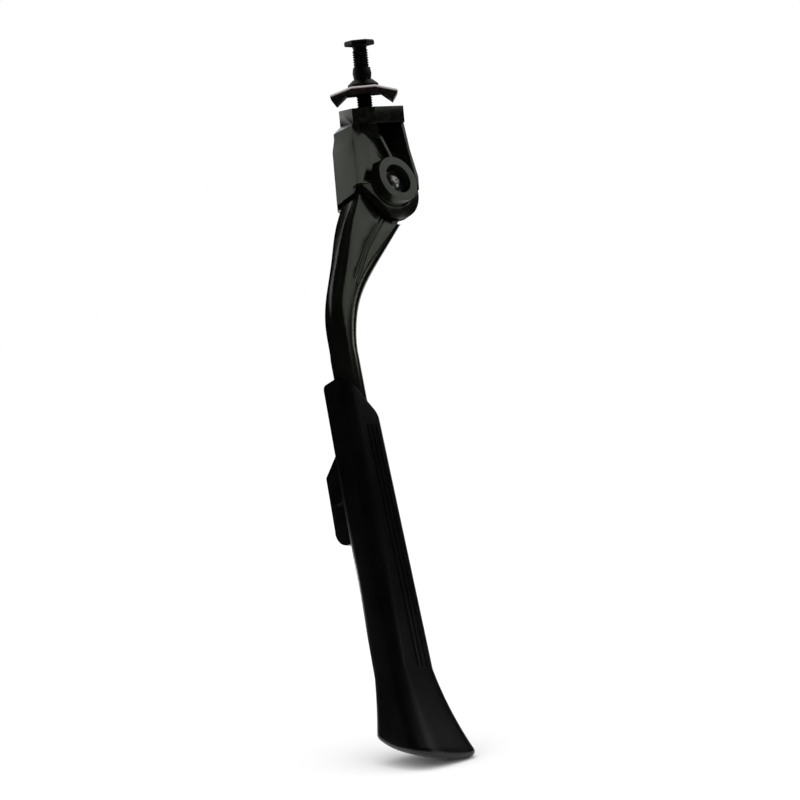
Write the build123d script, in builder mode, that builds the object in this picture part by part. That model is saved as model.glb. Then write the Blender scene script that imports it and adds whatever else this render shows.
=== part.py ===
from build123d import *
from math import cos, sin, tan, radians
import os

os.makedirs("parts", exist_ok=True)

# Centre-mount bicycle kickstand. X points outboard, Y to the rear, Z up along the clamp bolt.
# The origin lies on the bolt's axis, on the seat that the chainstays rest on. All sizes are in millimetres.

# Seat flange of the mounting head
seat_front = 7.0
seat_rear = 22.5
seat_inboard = 12.0
seat_outboard = 10.5
prow_reach = 12.5
prow_outboard = 3.0
seat_corner = 3.0
seat_rear_corner = 6.1
flange_depth = 8.0
edge_break = 0.6

# Pivot of the leg
pivot_tilt = 21.2
pivot_outboard = 3.8
pivot_drop = 42.4
pin_radius = 4.0
running_fit = 0.05
press_fit = 0.02
bushing_wall = 1.0
tongue_thickness = 8.0
tongue_radius = 16.0
thrust_thickness = 0.8
thrust_radius = 8.5
side_gap = 0.2

# Cheeks, boss and ribs of the mounting head
cheek_wall = 5.3
inner_wall = 4.5
cheek_radius = 18.5
cheek_rim_width = 4.6
cheek_rim_depth = 1.2
cheek_chord = 15.2
chord_angle = 214.0
boss_radius = 12.0
boss_height = 5.5
boss_draft = 10.0
recess_radius = 7.75
recess_depth = 4.3
front_reach = 23.2
front_bend_reach = 14.8
front_bend_drop = 21.5
front_top_reach = 12.2
front_top_drop = 13.5
rear_flare_level = 16.0
rear_flare_reach = 22.0
head_inboard = 12.0
front_trim = 18.4
brow_reach = 6.8
brow_drop = 4.5
stop_height = 1.0
stop_gap = 0.3
rear_stop_height = 4.0
slot_clearance = 0.6
pillar_width = 11.5
pocket_depth = 3.0
well_front = 7.2
well_level = 18.6
well_depth = 8.0
apron_drop = 4.8
apron_foot = 13.4
apron_foot_drop = 12.6
apron_gap = 0.3
skirt_drop = 3.6
skirt_gap = 0.4
toe_pocket_front = 18.1
toe_pocket_low = 2.6
toe_pocket_high = 7.5
toe_pocket_shift = 4.2
toe_pocket_width = 6.0
web_width = 1.8
web_level = 26.0
web_rear = 5.0
web_foot = 9.5
rim_width = 2.2
rim_height = 3.6
rim_foot_reach = 16.6
rim_end_reach = 13.6
rim_end_drop = 6.0
column_radius = 6.0
column_depth = 7.0

# Clamp bolt, keeper ring, dished washer and clamp plate
thread_radius = 4.0
shank_radius = 3.7
bolt_sunk = 13.0
bolt_hole_extra = 2.0
thread_above_seat = 30.0
bolt_head_height = 31.3
bolt_head_flats = 13.0
bolt_head_thickness = 2.7
bolt_head_turn = 45.0
hex_socket_flats = 5.0
hex_socket_depth = 2.0
thread_fit = 0.04
plate_underside = 6.8
plate_thickness = 4.0
plate_span = 35.0
plate_depth = 24.0
plate_flat = 12.0
plate_end_drop = 3.4
plate_tip_drop = 4.5
plate_tip_inset = 3.4
plate_bend = 8.6
plate_turn = 45.0
plate_hole_gap = 0.4
washer_radius = 7.7
washer_top_radius = 4.9
washer_height = 3.6
washer_rim = 1.2
keeper_radius = 4.75
keeper_end_radius = 4.3
keeper_height = 6.0
keeper_peak_height = 3.2
keeper_gap = 0.06

# Leg
upper_lean = 42.9
lower_lean = 12.9
upper_run = 86.5
knee_radius = 80.0
knee_front = 3.2
knee_rear = 1.3
knee_fade = 1.3
knee_sections = 3
shoulder_start = 12.0
shoulder_front = 15.6
shoulder_rear = 15.0
shoulder_thickness = 13.6
shoulder_corner = 2.2
shoulder_gap = 2.0
arm_sections = 2
waist_distance = 42.0
waist_front = 13.4
waist_rear = 10.4
waist_thickness = 13.6
waist_corner = 4.8
bar_size = 13.2
bar_corner = 6.0
bar_length = 150.0
neck_half = 10.5
neck_reach = 26.0
groove_width = 0.9
groove_depth = 1.0
groove_front = -2.4
groove_pitch = 1.9
groove_drift = 3.2

# Detent between tongue and cheeks
ball_radius = 2.2
ball_reach = 11.4
ball_proud = 1.6
detent_fit = 0.1
track_clear = 0.3
fold_angle = 105.0
detent_wire = 0.45
detent_turns = 4

# Foot sleeve
mouth_front_half = 11.3
mouth_rear_half = 8.2
shank_front_half = 12.3
shank_rear_half = 12.3
sleeve_thickness = 20.0
sleeve_corner = 6.0
bore_gap = 0.15
mouth_front = 35.0
mouth_rear = 57.0
bore_end_gap = 6.0
shank_run = 23.0
flare_run = 53.0
flare_mid = 0.45
flare_mid_growth = 0.33
flare_outboard = 26.5
flare_inboard = 17.0
flare_front = 20.5
flare_rear = 21.6
flare_corner = 9.0
sole_radius = 70.0
sole_outboard = 5.0
sole_run = 40.0
sole_slope = 28.0
sole_round = 2.0
sleeve_rib_count = 3
sleeve_rib_pitch = 2.6
sleeve_rib_front = 2.4
sleeve_rib_end_front = -0.6
sleeve_rib_radius = 0.55
sleeve_rib_start = 60.0

# Length latch: rack on the bar, rocker lever with its tooth, pin and spring
rack_pitch = 5.0
rack_steps = 9
key_width = 6.4
key_depth = 2.0
key_end_gap = 0.5
notch_depth = 0.8
notch_length = 3.0
tooth_distance = 70.0
tooth_length = 5.0
tooth_gap = 0.2
tooth_sunk = 3.5
lever_lip = 4.0
lever_tail = 23.5
lever_proud = 11.7
lever_end_proud = 12.2
lever_width = 12.4
lever_ramp = 9.0
lever_end_radius = 8.8
lever_gap = 0.6
lever_press = 6.0
lever_pivot_run = 18.0
lever_pivot_height = 4.6
lever_pin_radius = 1.5
ear_thickness = 2.2
ear_gap = 0.2
ear_radius = 3.8
spring_run = 16.0
spring_radius = 2.4
spring_wire = 0.5
spring_turns = 5
spring_pocket = 4.2
pocket_clear = 0.3

# Inboard end and head of the pivot pin
pin_washer_radius = 7.2
pin_washer_thickness = 0.8
clip_radius = 6.4
clip_thickness = 1.0
clip_groove = 0.8
pin_tail = 1.4
pin_head_radius = 5.0
pin_head_rise = 2.6
pin_dimple_radius = 1.0

# Values worked out from the sizes above
slot_half = tongue_thickness / 2 + thrust_thickness + side_gap
outer_face = slot_half + cheek_wall
inner_face = slot_half + inner_wall
pocket_floor = outer_face - pocket_depth
slot_radius = tongue_radius + slot_clearance
shoulder_radius = cheek_radius + shoulder_gap
stop_face = stop_height + stop_gap / 2
heel_face = stop_height - stop_gap / 2
boss_face = outer_face + boss_height
boss_length = boss_face - pocket_floor
boss_base_radius = boss_radius + boss_length * tan(radians(boss_draft))
recess_floor = boss_face - recess_depth
knee_turn = upper_lean - lower_lean
knee_tangent = knee_radius * tan(radians(knee_turn / 2))
knee_start = upper_run - knee_tangent
track_depth = ball_proud - thrust_thickness - side_gap + track_clear
track_width = 2 * (ball_radius + track_clear)
sleeve_half = sleeve_thickness / 2
bore_bottom = bar_length + bore_end_gap
flare_start = bore_bottom + shank_run
flare_end = flare_start + flare_run
sole_distance = flare_start + sole_run
lever_top = tooth_distance - lever_lip
lever_pivot_distance = tooth_distance + lever_pivot_run
lever_bottom = lever_pivot_distance + lever_tail
spring_distance = lever_pivot_distance + spring_run

pivot_axis = Vector(cos(radians(pivot_tilt)), 0, sin(radians(pivot_tilt)))
pivot_plane = Plane(origin=(pivot_outboard, 0, -pivot_drop), x_dir=(0, 1, 0), z_dir=pivot_axis)


def on_pivot(rear, up, outboard=0.0):
    """A point given in the leg's plane: to the rear, up the plane, and along the pivot's axis."""
    return pivot_plane.from_local_coords(Vector(rear, up, outboard))


def arm_point(distance, front):
    """A point of the leg's plane, so far down the upper arm and so far to the arm's front."""
    rear = -sin(radians(upper_lean)) * distance - cos(radians(upper_lean)) * front
    up = -cos(radians(upper_lean)) * distance + sin(radians(upper_lean)) * front
    return (rear, up)


def bar_point(distance):
    """A point of the leg's plane on the lower bar's axis, so far below the knee's corner."""
    rear, up = arm_point(upper_run, 0)
    return (rear - sin(radians(lower_lean)) * distance, up - cos(radians(lower_lean)) * distance)


def square_plane(lean, point):
    """The plane square to a run of the leg at a point: X outboard, Y to the run's front, Z down the run."""
    down = on_pivot(-sin(radians(lean)), -cos(radians(lean))) - pivot_plane.origin
    return Plane(origin=on_pivot(*point), x_dir=pivot_axis, z_dir=down)


def arm_plane(distance):
    """The plane square to the upper arm, at a distance from the pivot."""
    return square_plane(upper_lean, arm_point(distance, 0))


def knee_plane(turned):
    """The plane square to the bend, so many degrees after the bend starts."""
    rear, up = arm_point(knee_start, 0)
    lean = upper_lean - turned
    rear -= knee_radius * (cos(radians(lean)) - cos(radians(upper_lean)))
    up -= knee_radius * (sin(radians(upper_lean)) - sin(radians(lean)))
    return square_plane(lean, (rear, up))


def bar_plane(distance):
    """The plane square to the lower bar, at a distance below the knee's corner."""
    return square_plane(lower_lean, bar_point(distance))


bar_base = bar_plane(0)
# Along the bar, seen from the rear: X down the bar, Y inboard, Z to the rear
bar_side_plane = Plane(origin=bar_base.origin, x_dir=bar_base.z_dir, z_dir=-bar_base.y_dir)
# Along the bar in the leg's own plane: X down the bar, Y to the rear, Z outboard
bar_front_plane = Plane(origin=bar_base.origin, x_dir=bar_base.z_dir, z_dir=pivot_axis)

# Mounting head: clevis block, ribs, rim, boss, flange and bolt column, cast in one piece
seat_outline = [
    (-seat_inboard, -seat_front),
    (prow_outboard, -prow_reach),
    (seat_outboard, -seat_front + seat_corner),
    (seat_outboard, seat_rear - seat_rear_corner),
    (seat_outboard - seat_rear_corner, seat_rear),
    (-seat_inboard + seat_corner, seat_rear),
    (-seat_inboard, seat_rear - seat_corner),
]
seat_level = pivot_drop / cos(radians(pivot_tilt))
block_top = seat_level + outer_face
front_top_level = seat_level - front_top_drop
front_bend_level = seat_level - front_bend_drop
block_outline = [
    (cheek_radius, 0),
    (cheek_radius, rear_flare_level),
    (rear_flare_reach, seat_level - flange_depth),
    (rear_flare_reach, block_top),
    (-front_top_reach, block_top),
    (-front_top_reach, front_top_level),
    (-front_bend_reach, front_bend_level),
    (-front_reach, stop_face),
    (0, stop_face),
    (0, 0),
]
# The inboard cheek reaches lower at the front, beside the leg's shoulder
apron_outline = [
    (-front_reach, stop_face),
    (-front_reach, -apron_drop),
    (-apron_foot, -apron_foot_drop),
    (0, 0),
    (0, stop_face),
]
pocket_outline = [
    (pillar_width - front_reach, stop_face),
    (pillar_width - front_bend_reach, front_bend_level),
    (pillar_width - front_top_reach, front_top_level),
    (pillar_width - front_top_reach, block_top),
    (rear_flare_reach - rim_width, block_top),
    (rear_flare_reach - rim_width, seat_level - flange_depth),
    (cheek_radius - rim_width, rear_flare_level),
    (cheek_radius - rim_width, stop_face),
]
well_outline = [
    (well_front, well_level),
    (well_front, seat_level - flange_depth),
    (rear_flare_reach - rim_width, seat_level - flange_depth),
    (cheek_radius - rim_width, well_level),
]
toe_pocket_outline = [
    (-toe_pocket_front, toe_pocket_low),
    (toe_pocket_shift - toe_pocket_front, toe_pocket_high),
    (toe_pocket_shift - toe_pocket_front + toe_pocket_width, toe_pocket_high),
    (toe_pocket_width - toe_pocket_front, toe_pocket_low),
]
rim_outline = [
    (rim_end_reach, -rim_end_drop),
    (rim_foot_reach, stop_face),
    (cheek_radius - rim_width / 4, rear_flare_level),
    (rear_flare_reach, seat_level - flange_depth),
    (rear_flare_reach, block_top),
    (rear_flare_reach - rim_width, block_top),
    (rear_flare_reach - rim_width, seat_level - flange_depth),
    (cheek_radius - rim_width, rear_flare_level),
    (rim_foot_reach - rim_width, stop_face),
]
# The brow slopes forward from the flange's front edge down to the front of the block
brow_edge = Vector(seat_inboard + prow_outboard, seat_front - prow_reach, 0)
brow_plane = Plane(
    origin=(-seat_inboard, -seat_front, -flange_depth),
    x_dir=brow_edge,
    z_dir=brow_edge.cross(Vector(0, -brow_reach, -brow_drop)),
)


def before_arm(level):
    """The point at a level on the line just clear of the arm's front face."""
    clear = shoulder_front + skirt_gap
    return arm_point((sin(radians(upper_lean)) * clear - level) / cos(radians(upper_lean)), clear)


# The block's front face runs on down as a thin skirt before the leg's shoulder
skirt_level = stop_face - skirt_drop
skirt_lean = (front_reach - front_bend_reach) / (front_bend_level - stop_face)
skirt_outline = [
    (-front_reach, stop_face),
    (-front_reach - skirt_lean * skirt_drop, skirt_level),
    before_arm(skirt_level),
    before_arm(stop_face),
]
slot_reach = 2 * shoulder_radius
slot_outline = [
    before_arm(stop_face),
    (0, stop_face),
    (0, rear_stop_height),
    (slot_reach, rear_stop_height),
    (slot_reach, -slot_reach),
    before_arm(-slot_reach),
]
# Through the pivot's axis: X to the rear, Y along the axis
pin_side_plane = Plane(origin=pivot_plane.origin, x_dir=(0, 1, 0), z_dir=-pivot_plane.y_dir)
cheek_rim_section = [
    (cheek_radius - cheek_rim_width, outer_face),
    (cheek_radius, outer_face - cheek_rim_depth),
    (cheek_radius + cheek_rim_width, outer_face - cheek_rim_depth),
    (cheek_radius + cheek_rim_width, outer_face),
]
with BuildPart() as mounting_head:
    with BuildSketch(pivot_plane.offset(-inner_face)):
        Circle(cheek_radius)
        with PolarLocations(cheek_chord + cheek_radius, 1, start_angle=chord_angle):
            Rectangle(2 * cheek_radius, 4 * cheek_radius, mode=Mode.SUBTRACT)
    extrude(amount=inner_face + outer_face)
    with BuildSketch(pin_side_plane):
        with BuildLine():
            Polyline(cheek_rim_section, close=True)
        make_face()
    revolve(axis=Axis(pivot_plane.origin, pivot_axis), mode=Mode.SUBTRACT)
    with BuildSketch(pivot_plane.offset(-inner_face)):
        with BuildLine():
            Polyline(block_outline, close=True)
        make_face()
    extrude(amount=inner_face + outer_face)
    with BuildSketch(pivot_plane.offset(-inner_face)):
        with BuildLine():
            Polyline(apron_outline, close=True)
        make_face()
    extrude(amount=inner_face - shoulder_thickness / 2 - apron_gap)
    with BuildSketch(pivot_plane.offset(-inner_face)):
        with BuildLine():
            Polyline(skirt_outline, close=True)
        make_face()
    extrude(amount=inner_face + shoulder_thickness / 2)
    split(bisect_by=Plane.YZ.offset(-head_inboard), keep=Keep.TOP)
    split(bisect_by=Plane(origin=(0, 0, 0), z_dir=(1, 1, 0)).offset(-front_trim), keep=Keep.TOP)
    split(bisect_by=brow_plane, keep=Keep.TOP)
    with BuildSketch(pivot_plane.offset(pocket_floor)):
        with BuildLine():
            Polyline(pocket_outline, close=True)
        make_face()
    extrude(amount=pocket_depth, mode=Mode.SUBTRACT)
    with BuildSketch(pivot_plane.offset(pocket_floor)):
        with BuildLine():
            Polyline(toe_pocket_outline, close=True)
        make_face()
    extrude(amount=pocket_depth, mode=Mode.SUBTRACT)
    with BuildSketch(pivot_plane.offset(pocket_floor - well_depth)):
        with BuildLine():
            Polyline(well_outline, close=True)
        make_face()
    extrude(amount=well_depth, mode=Mode.SUBTRACT)
    with BuildSketch(pivot_plane.offset(pocket_floor)):
        with BuildLine():
            Polyline((-web_rear, web_level), (web_rear, web_level), (web_foot, 0))
        trace(line_width=web_width)
    extrude(amount=pocket_depth)
    with BuildSketch(pivot_plane.offset(pocket_floor)):
        with BuildLine():
            Polyline(rim_outline, close=True)
        make_face()
    extrude(amount=pocket_depth + rim_height)
    with BuildSketch(pivot_plane.offset(pocket_floor)):
        Circle(boss_base_radius)
    extrude(amount=boss_length, taper=boss_draft)
    split(bisect_by=Plane.XY.offset(-flange_depth / 2), keep=Keep.BOTTOM)
    with BuildSketch(Plane.XY):
        with BuildLine():
            Polyline(seat_outline, close=True)
        make_face()
    extrude(amount=-flange_depth)
    with BuildSketch(Plane.XY.offset(-flange_depth)):
        Circle(column_radius)
    extrude(amount=-column_depth)
    with BuildSketch(pivot_plane.offset(-slot_half)):
        Circle(slot_radius)
        with BuildLine():
            Polyline(slot_outline, close=True)
        make_face()
    extrude(amount=2 * slot_half, mode=Mode.SUBTRACT)
    with BuildSketch(pivot_plane.offset(-slot_half - track_depth)):
        with BuildLine():
            CenterArc((0, 0), ball_reach, 90 - upper_lean, fold_angle)
        trace(line_width=track_width)
        with PolarLocations(ball_reach, 2, 90 - upper_lean, fold_angle, endpoint=True):
            Circle(track_width / 2)
    extrude(amount=2 * (slot_half + track_depth), mode=Mode.SUBTRACT)
    with BuildSketch(pivot_plane.offset(-2 * inner_face)):
        Circle(pin_radius + press_fit)
    extrude(amount=2 * (inner_face + outer_face), mode=Mode.SUBTRACT)
    with BuildSketch(pivot_plane.offset(recess_floor)):
        Circle(recess_radius)
    extrude(amount=boss_height, mode=Mode.SUBTRACT)
    with BuildSketch(Plane.XY):
        Circle(thread_radius + thread_fit)
    extrude(amount=-bolt_sunk - bolt_hole_extra, mode=Mode.SUBTRACT)
mounting_head.part.label = "mounting_head"
export_step(mounting_head.part, "parts/mounting_head.step")

# Clamp bolt: low hexagon head with a key socket, plain shank, threaded end sunk in the head
with BuildPart() as clamp_bolt:
    with BuildSketch(Plane.XY.offset(-bolt_sunk)):
        Circle(thread_radius)
    extrude(amount=bolt_sunk + thread_above_seat)
    chamfer(clamp_bolt.faces().sort_by(Axis.Z)[0].edges(), length=edge_break)
    with BuildSketch(Plane.XY.offset(thread_above_seat)):
        Circle(shank_radius)
    extrude(amount=bolt_head_height - thread_above_seat)
    with BuildSketch(Plane.XY.offset(bolt_head_height)):
        RegularPolygon(bolt_head_flats / 2, 6, major_radius=False, rotation=bolt_head_turn)
    extrude(amount=bolt_head_thickness)
    chamfer(clamp_bolt.faces().sort_by(Axis.Z)[-1].edges(), length=edge_break)
    with BuildSketch(Plane.XY.offset(bolt_head_height + bolt_head_thickness)):
        RegularPolygon(hex_socket_flats / 2, 6, major_radius=False)
    extrude(amount=-hex_socket_depth, mode=Mode.SUBTRACT)
clamp_bolt.part.label = "clamp_bolt"
export_step(clamp_bolt.part, "parts/clamp_bolt.step")

# Clamp plate: thick pressed plate with both ends turned down, swivelled on the bolt as the photo shows it
plate_top = plate_underside + plate_thickness
span_dir = Vector(cos(radians(plate_turn)), sin(radians(plate_turn)), 0)
plate_section_plane = Plane(origin=(0, 0, 0), x_dir=span_dir, z_dir=(span_dir.Y, -span_dir.X, 0))
plate_half_section = [
    (0, plate_top),
    (plate_flat / 2, plate_top),
    (plate_span / 2, plate_top - plate_end_drop),
    (plate_span / 2 - plate_tip_inset, plate_underside - plate_tip_drop),
    (plate_bend, plate_underside),
    (0, plate_underside),
]
with BuildPart() as clamp_plate:
    with BuildSketch(plate_section_plane):
        with BuildLine():
            Polyline(plate_half_section, close=True)
        make_face()
        mirror(about=Plane.YZ)
    extrude(amount=plate_depth / 2, both=True)
    with BuildSketch(Plane.XY):
        Circle(thread_radius + plate_hole_gap)
    extrude(amount=plate_top, mode=Mode.SUBTRACT)
clamp_plate.part.label = "clamp_plate"
export_step(clamp_plate.part, "parts/clamp_plate.step")

# Dished washer and keeper ring, both turned about the bolt's axis
washer_bore = thread_radius + plate_hole_gap / 2
keeper_bottom = plate_top + washer_height
washer_section = [
    (washer_bore, plate_top),
    (washer_radius, plate_top),
    (washer_radius, plate_top + washer_rim),
    (washer_top_radius, keeper_bottom),
    (washer_bore, keeper_bottom),
]
with BuildPart() as dished_washer:
    with BuildSketch(Plane.XZ):
        with BuildLine():
            Polyline(washer_section, close=True)
        make_face()
    revolve(axis=Axis.Z)
dished_washer.part.label = "dished_washer"
export_step(dished_washer.part, "parts/dished_washer.step")

keeper_bore = thread_radius + keeper_gap
keeper_section = [
    (keeper_bore, keeper_bottom),
    (keeper_end_radius, keeper_bottom),
    (keeper_radius, keeper_bottom + keeper_peak_height),
    (keeper_end_radius, keeper_bottom + keeper_height),
    (keeper_bore, keeper_bottom + keeper_height),
]
with BuildPart() as keeper_ring:
    with BuildSketch(Plane.XZ):
        with BuildLine():
            Polyline(keeper_section, close=True)
        make_face()
    revolve(axis=Axis.Z)
keeper_ring.part.label = "keeper_ring"
export_step(keeper_ring.part, "parts/keeper_ring.step")

# Leg: tongue, tapering arm, bend and straight bar with its rack, forged in one piece
neck_outline = [
    arm_point(0, neck_half),
    arm_point(neck_reach, neck_half),
    arm_point(neck_reach, -neck_half),
    arm_point(0, -neck_half),
]
heel_outline = [
    (-slot_reach, heel_face),
    (0, heel_face),
    (0, slot_reach),
    (-slot_reach, slot_reach),
]
key_start = tooth_distance - tooth_length / 2 - key_end_gap
key_end = tooth_distance + rack_pitch * rack_steps + tooth_length / 2 + key_end_gap
key_floor = bar_size / 2 - key_depth
with BuildPart() as leg:
    for section in range(arm_sections + 1):
        share = section / arm_sections
        front = shoulder_front + (waist_front - shoulder_front) * share
        rear = shoulder_rear + (waist_rear - shoulder_rear) * share
        thickness = shoulder_thickness + (waist_thickness - shoulder_thickness) * share
        corner = shoulder_corner + (waist_corner - shoulder_corner) * share
        with BuildSketch(arm_plane(shoulder_start + (waist_distance - shoulder_start) * share)):
            with Locations((0, (front - rear) / 2)):
                RectangleRounded(thickness, front + rear, corner)
    for section in range(knee_sections + 1):
        with BuildSketch(knee_plane(knee_turn * section / knee_sections)):
            fade = (1 - section / knee_sections) ** knee_fade
            with Locations((0, (knee_front - knee_rear) * fade / 2)):
                RectangleRounded(bar_size, bar_size + (knee_front + knee_rear) * fade, bar_corner)
    loft()
    with BuildSketch(bar_plane(knee_tangent)):
        RectangleRounded(bar_size, bar_size, bar_corner)
    extrude(amount=bar_length - knee_tangent)
    with BuildSketch(pivot_plane.offset(-shoulder_thickness)):
        Circle(shoulder_radius)
        with BuildLine():
            Polyline(heel_outline, close=True)
        make_face()
    extrude(amount=2 * shoulder_thickness, mode=Mode.SUBTRACT)
    with BuildSketch(pivot_plane.offset(-tongue_thickness / 2)):
        Circle(tongue_radius)
        with BuildLine():
            Polyline(neck_outline, close=True)
        make_face()
    extrude(amount=tongue_thickness)
    with BuildSketch(pivot_plane.offset(-tongue_thickness)):
        Circle(pin_radius + running_fit + bushing_wall + press_fit)
        with Locations(arm_point(-ball_reach, 0)):
            Circle(ball_radius + detent_fit)
    extrude(amount=2 * tongue_thickness, mode=Mode.SUBTRACT)
    for front in (groove_front, groove_front - groove_pitch):
        with BuildSketch(pivot_plane.offset(shoulder_thickness / 2 - groove_depth)):
            with BuildLine():
                Polyline(
                    arm_point(shoulder_radius - groove_width, front),
                    arm_point(waist_distance, front + groove_drift),
                    arm_point(knee_start, front + groove_drift),
                )
            trace(line_width=groove_width)
        extrude(amount=shoulder_thickness, mode=Mode.SUBTRACT)
    with BuildSketch(bar_side_plane):
        with Locations(((key_start + key_end) / 2, bar_size / 2)):
            Rectangle(key_end - key_start, 2 * key_depth)
        for step in range(rack_steps + 1):
            with Locations((tooth_distance + rack_pitch * step, key_floor)):
                Rectangle(notch_length, 2 * notch_depth)
    extrude(amount=key_width / 2, both=True, mode=Mode.SUBTRACT)
leg.part.label = "leg"
export_step(leg.part, "parts/leg.step")

# Bearing of the leg: bushing in the tongue and a thrust washer on each side
with BuildPart() as pivot_bushing:
    with BuildSketch(pivot_plane.offset(-tongue_thickness / 2)):
        Circle(pin_radius + running_fit + bushing_wall)
        Circle(pin_radius + running_fit, mode=Mode.SUBTRACT)
    extrude(amount=tongue_thickness)
pivot_bushing.part.label = "pivot_bushing"
export_step(pivot_bushing.part, "parts/pivot_bushing.step")

with BuildPart() as thrust_washer_outer:
    with BuildSketch(pivot_plane.offset(tongue_thickness / 2)):
        Circle(thrust_radius)
        Circle(pin_radius + running_fit, mode=Mode.SUBTRACT)
    extrude(amount=thrust_thickness)
thrust_washer_outer.part.label = "thrust_washer_outer"
export_step(thrust_washer_outer.part, "parts/thrust_washer_outer.step")

with BuildPart() as thrust_washer_inner:
    with BuildSketch(pivot_plane.offset(-tongue_thickness / 2)):
        Circle(thrust_radius)
        Circle(pin_radius + running_fit, mode=Mode.SUBTRACT)
    extrude(amount=-thrust_thickness)
thrust_washer_inner.part.label = "thrust_washer_inner"
export_step(thrust_washer_inner.part, "parts/thrust_washer_inner.step")

# Pivot pin: domed head in the boss's recess, groove for the clip at the inboard end
washer_face = -inner_face - pin_washer_thickness
pin_end = washer_face - clip_thickness - pin_tail
dome_radius = (pin_head_radius**2 + pin_head_rise**2) / (2 * pin_head_rise)
with BuildPart() as pivot_pin:
    with BuildSketch(pin_side_plane):
        with BuildLine():
            RadiusArc((0, recess_floor + pin_head_rise), (pin_head_radius, recess_floor), dome_radius)
            Polyline(
                (pin_head_radius, recess_floor),
                (pin_radius, recess_floor),
                (pin_radius, washer_face),
                (pin_radius - clip_groove, washer_face),
                (pin_radius - clip_groove, washer_face - clip_thickness),
                (pin_radius, washer_face - clip_thickness),
                (pin_radius, pin_end + edge_break),
                (pin_radius - edge_break, pin_end),
                (0, pin_end),
                (0, recess_floor + pin_head_rise),
            )
        make_face()
    revolve(axis=Axis(pivot_plane.origin, pivot_axis))
    with Locations(on_pivot(0, 0, recess_floor + pin_head_rise + pin_dimple_radius / 2)):
        Sphere(pin_dimple_radius, mode=Mode.SUBTRACT)
pivot_pin.part.label = "pivot_pin"
export_step(pivot_pin.part, "parts/pivot_pin.step")

with BuildPart() as pin_washer:
    with BuildSketch(pivot_plane.offset(-inner_face)):
        Circle(pin_washer_radius)
        Circle(pin_radius + running_fit, mode=Mode.SUBTRACT)
    extrude(amount=-pin_washer_thickness)
pin_washer.part.label = "pin_washer"
export_step(pin_washer.part, "parts/pin_washer.step")

clip_bore = pin_radius - clip_groove + press_fit
with BuildPart() as retaining_clip:
    with BuildSketch(pivot_plane.offset(washer_face)):
        Circle(clip_radius)
        Circle(clip_bore, mode=Mode.SUBTRACT)
        with Locations((clip_radius, 0)):
            Rectangle(2 * clip_radius, 2 * clip_bore - edge_break, mode=Mode.SUBTRACT)
    extrude(amount=-clip_thickness)
retaining_clip.part.label = "retaining_clip"
export_step(retaining_clip.part, "parts/retaining_clip.step")

# Detent: two balls pushed apart by a short spring in the tongue's cross bore
ball_centre = tongue_thickness / 2 + ball_proud - ball_radius
ball_point = arm_point(-ball_reach, 0)
with BuildPart() as detent_ball_outer:
    with Locations(on_pivot(*ball_point, ball_centre)):
        Sphere(ball_radius)
detent_ball_outer.part.label = "detent_ball_outer"
export_step(detent_ball_outer.part, "parts/detent_ball_outer.step")

with BuildPart() as detent_ball_inner:
    with Locations(on_pivot(*ball_point, -ball_centre)):
        Sphere(ball_radius)
detent_ball_inner.part.label = "detent_ball_inner"
export_step(detent_ball_inner.part, "parts/detent_ball_inner.step")

# The spring's ends stop where a wire at the coil's radius would touch the balls
detent_coil_radius = ball_radius - detent_wire
detent_span = 2 * (ball_centre - (ball_radius**2 - detent_coil_radius**2) ** 0.5 - detent_wire)
detent_plane = Plane(origin=on_pivot(*ball_point, -detent_span / 2), x_dir=(0, 1, 0), z_dir=pivot_axis)
with BuildPart() as detent_spring:
    with BuildLine(detent_plane) as detent_coil:
        Helix(detent_span / detent_turns, detent_span, detent_coil_radius, direction=detent_plane.z_dir)
    with BuildSketch(Plane(origin=detent_coil.line @ 0, z_dir=detent_coil.line % 0)):
        Circle(detent_wire / 2)
    sweep(path=detent_coil.line, is_frenet=True)
detent_spring.part.label = "detent_spring"
export_step(detent_spring.part, "parts/detent_spring.step")

# Foot sleeve: square-rounded tube with a slanted mouth, flared foot with a ball-shaped sole, lever ears
sole_dir = Vector(-sin(radians(sole_slope)), 0, cos(radians(sole_slope)))
sole_centre = Vector(sole_outboard, 0, sole_distance) - sole_dir * sole_radius
with BuildPart() as foot_flare:
    for along, growth in ((0, 0), (flare_mid, flare_mid_growth), (1, 1)):
        outboard = sleeve_half + (flare_outboard - sleeve_half) * growth
        inboard = sleeve_half + (flare_inboard - sleeve_half) * growth
        front = shank_front_half + (flare_front - shank_front_half) * growth
        rear = shank_rear_half + (flare_rear - shank_rear_half) * growth
        with BuildSketch(bar_plane(flare_start + flare_run * along)):
            with Locations(((outboard - inboard) / 2, (front - rear) / 2)):
                corner = sleeve_corner + (flare_corner - sleeve_corner) * growth
                RectangleRounded(outboard + inboard, front + rear, corner)
    loft()
    with Locations(bar_base.from_local_coords(sole_centre)):
        Sphere(sole_radius, mode=Mode.INTERSECT)
    fillet(foot_flare.faces().filter_by(GeomType.SPHERE).edges(), radius=sole_round)

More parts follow.
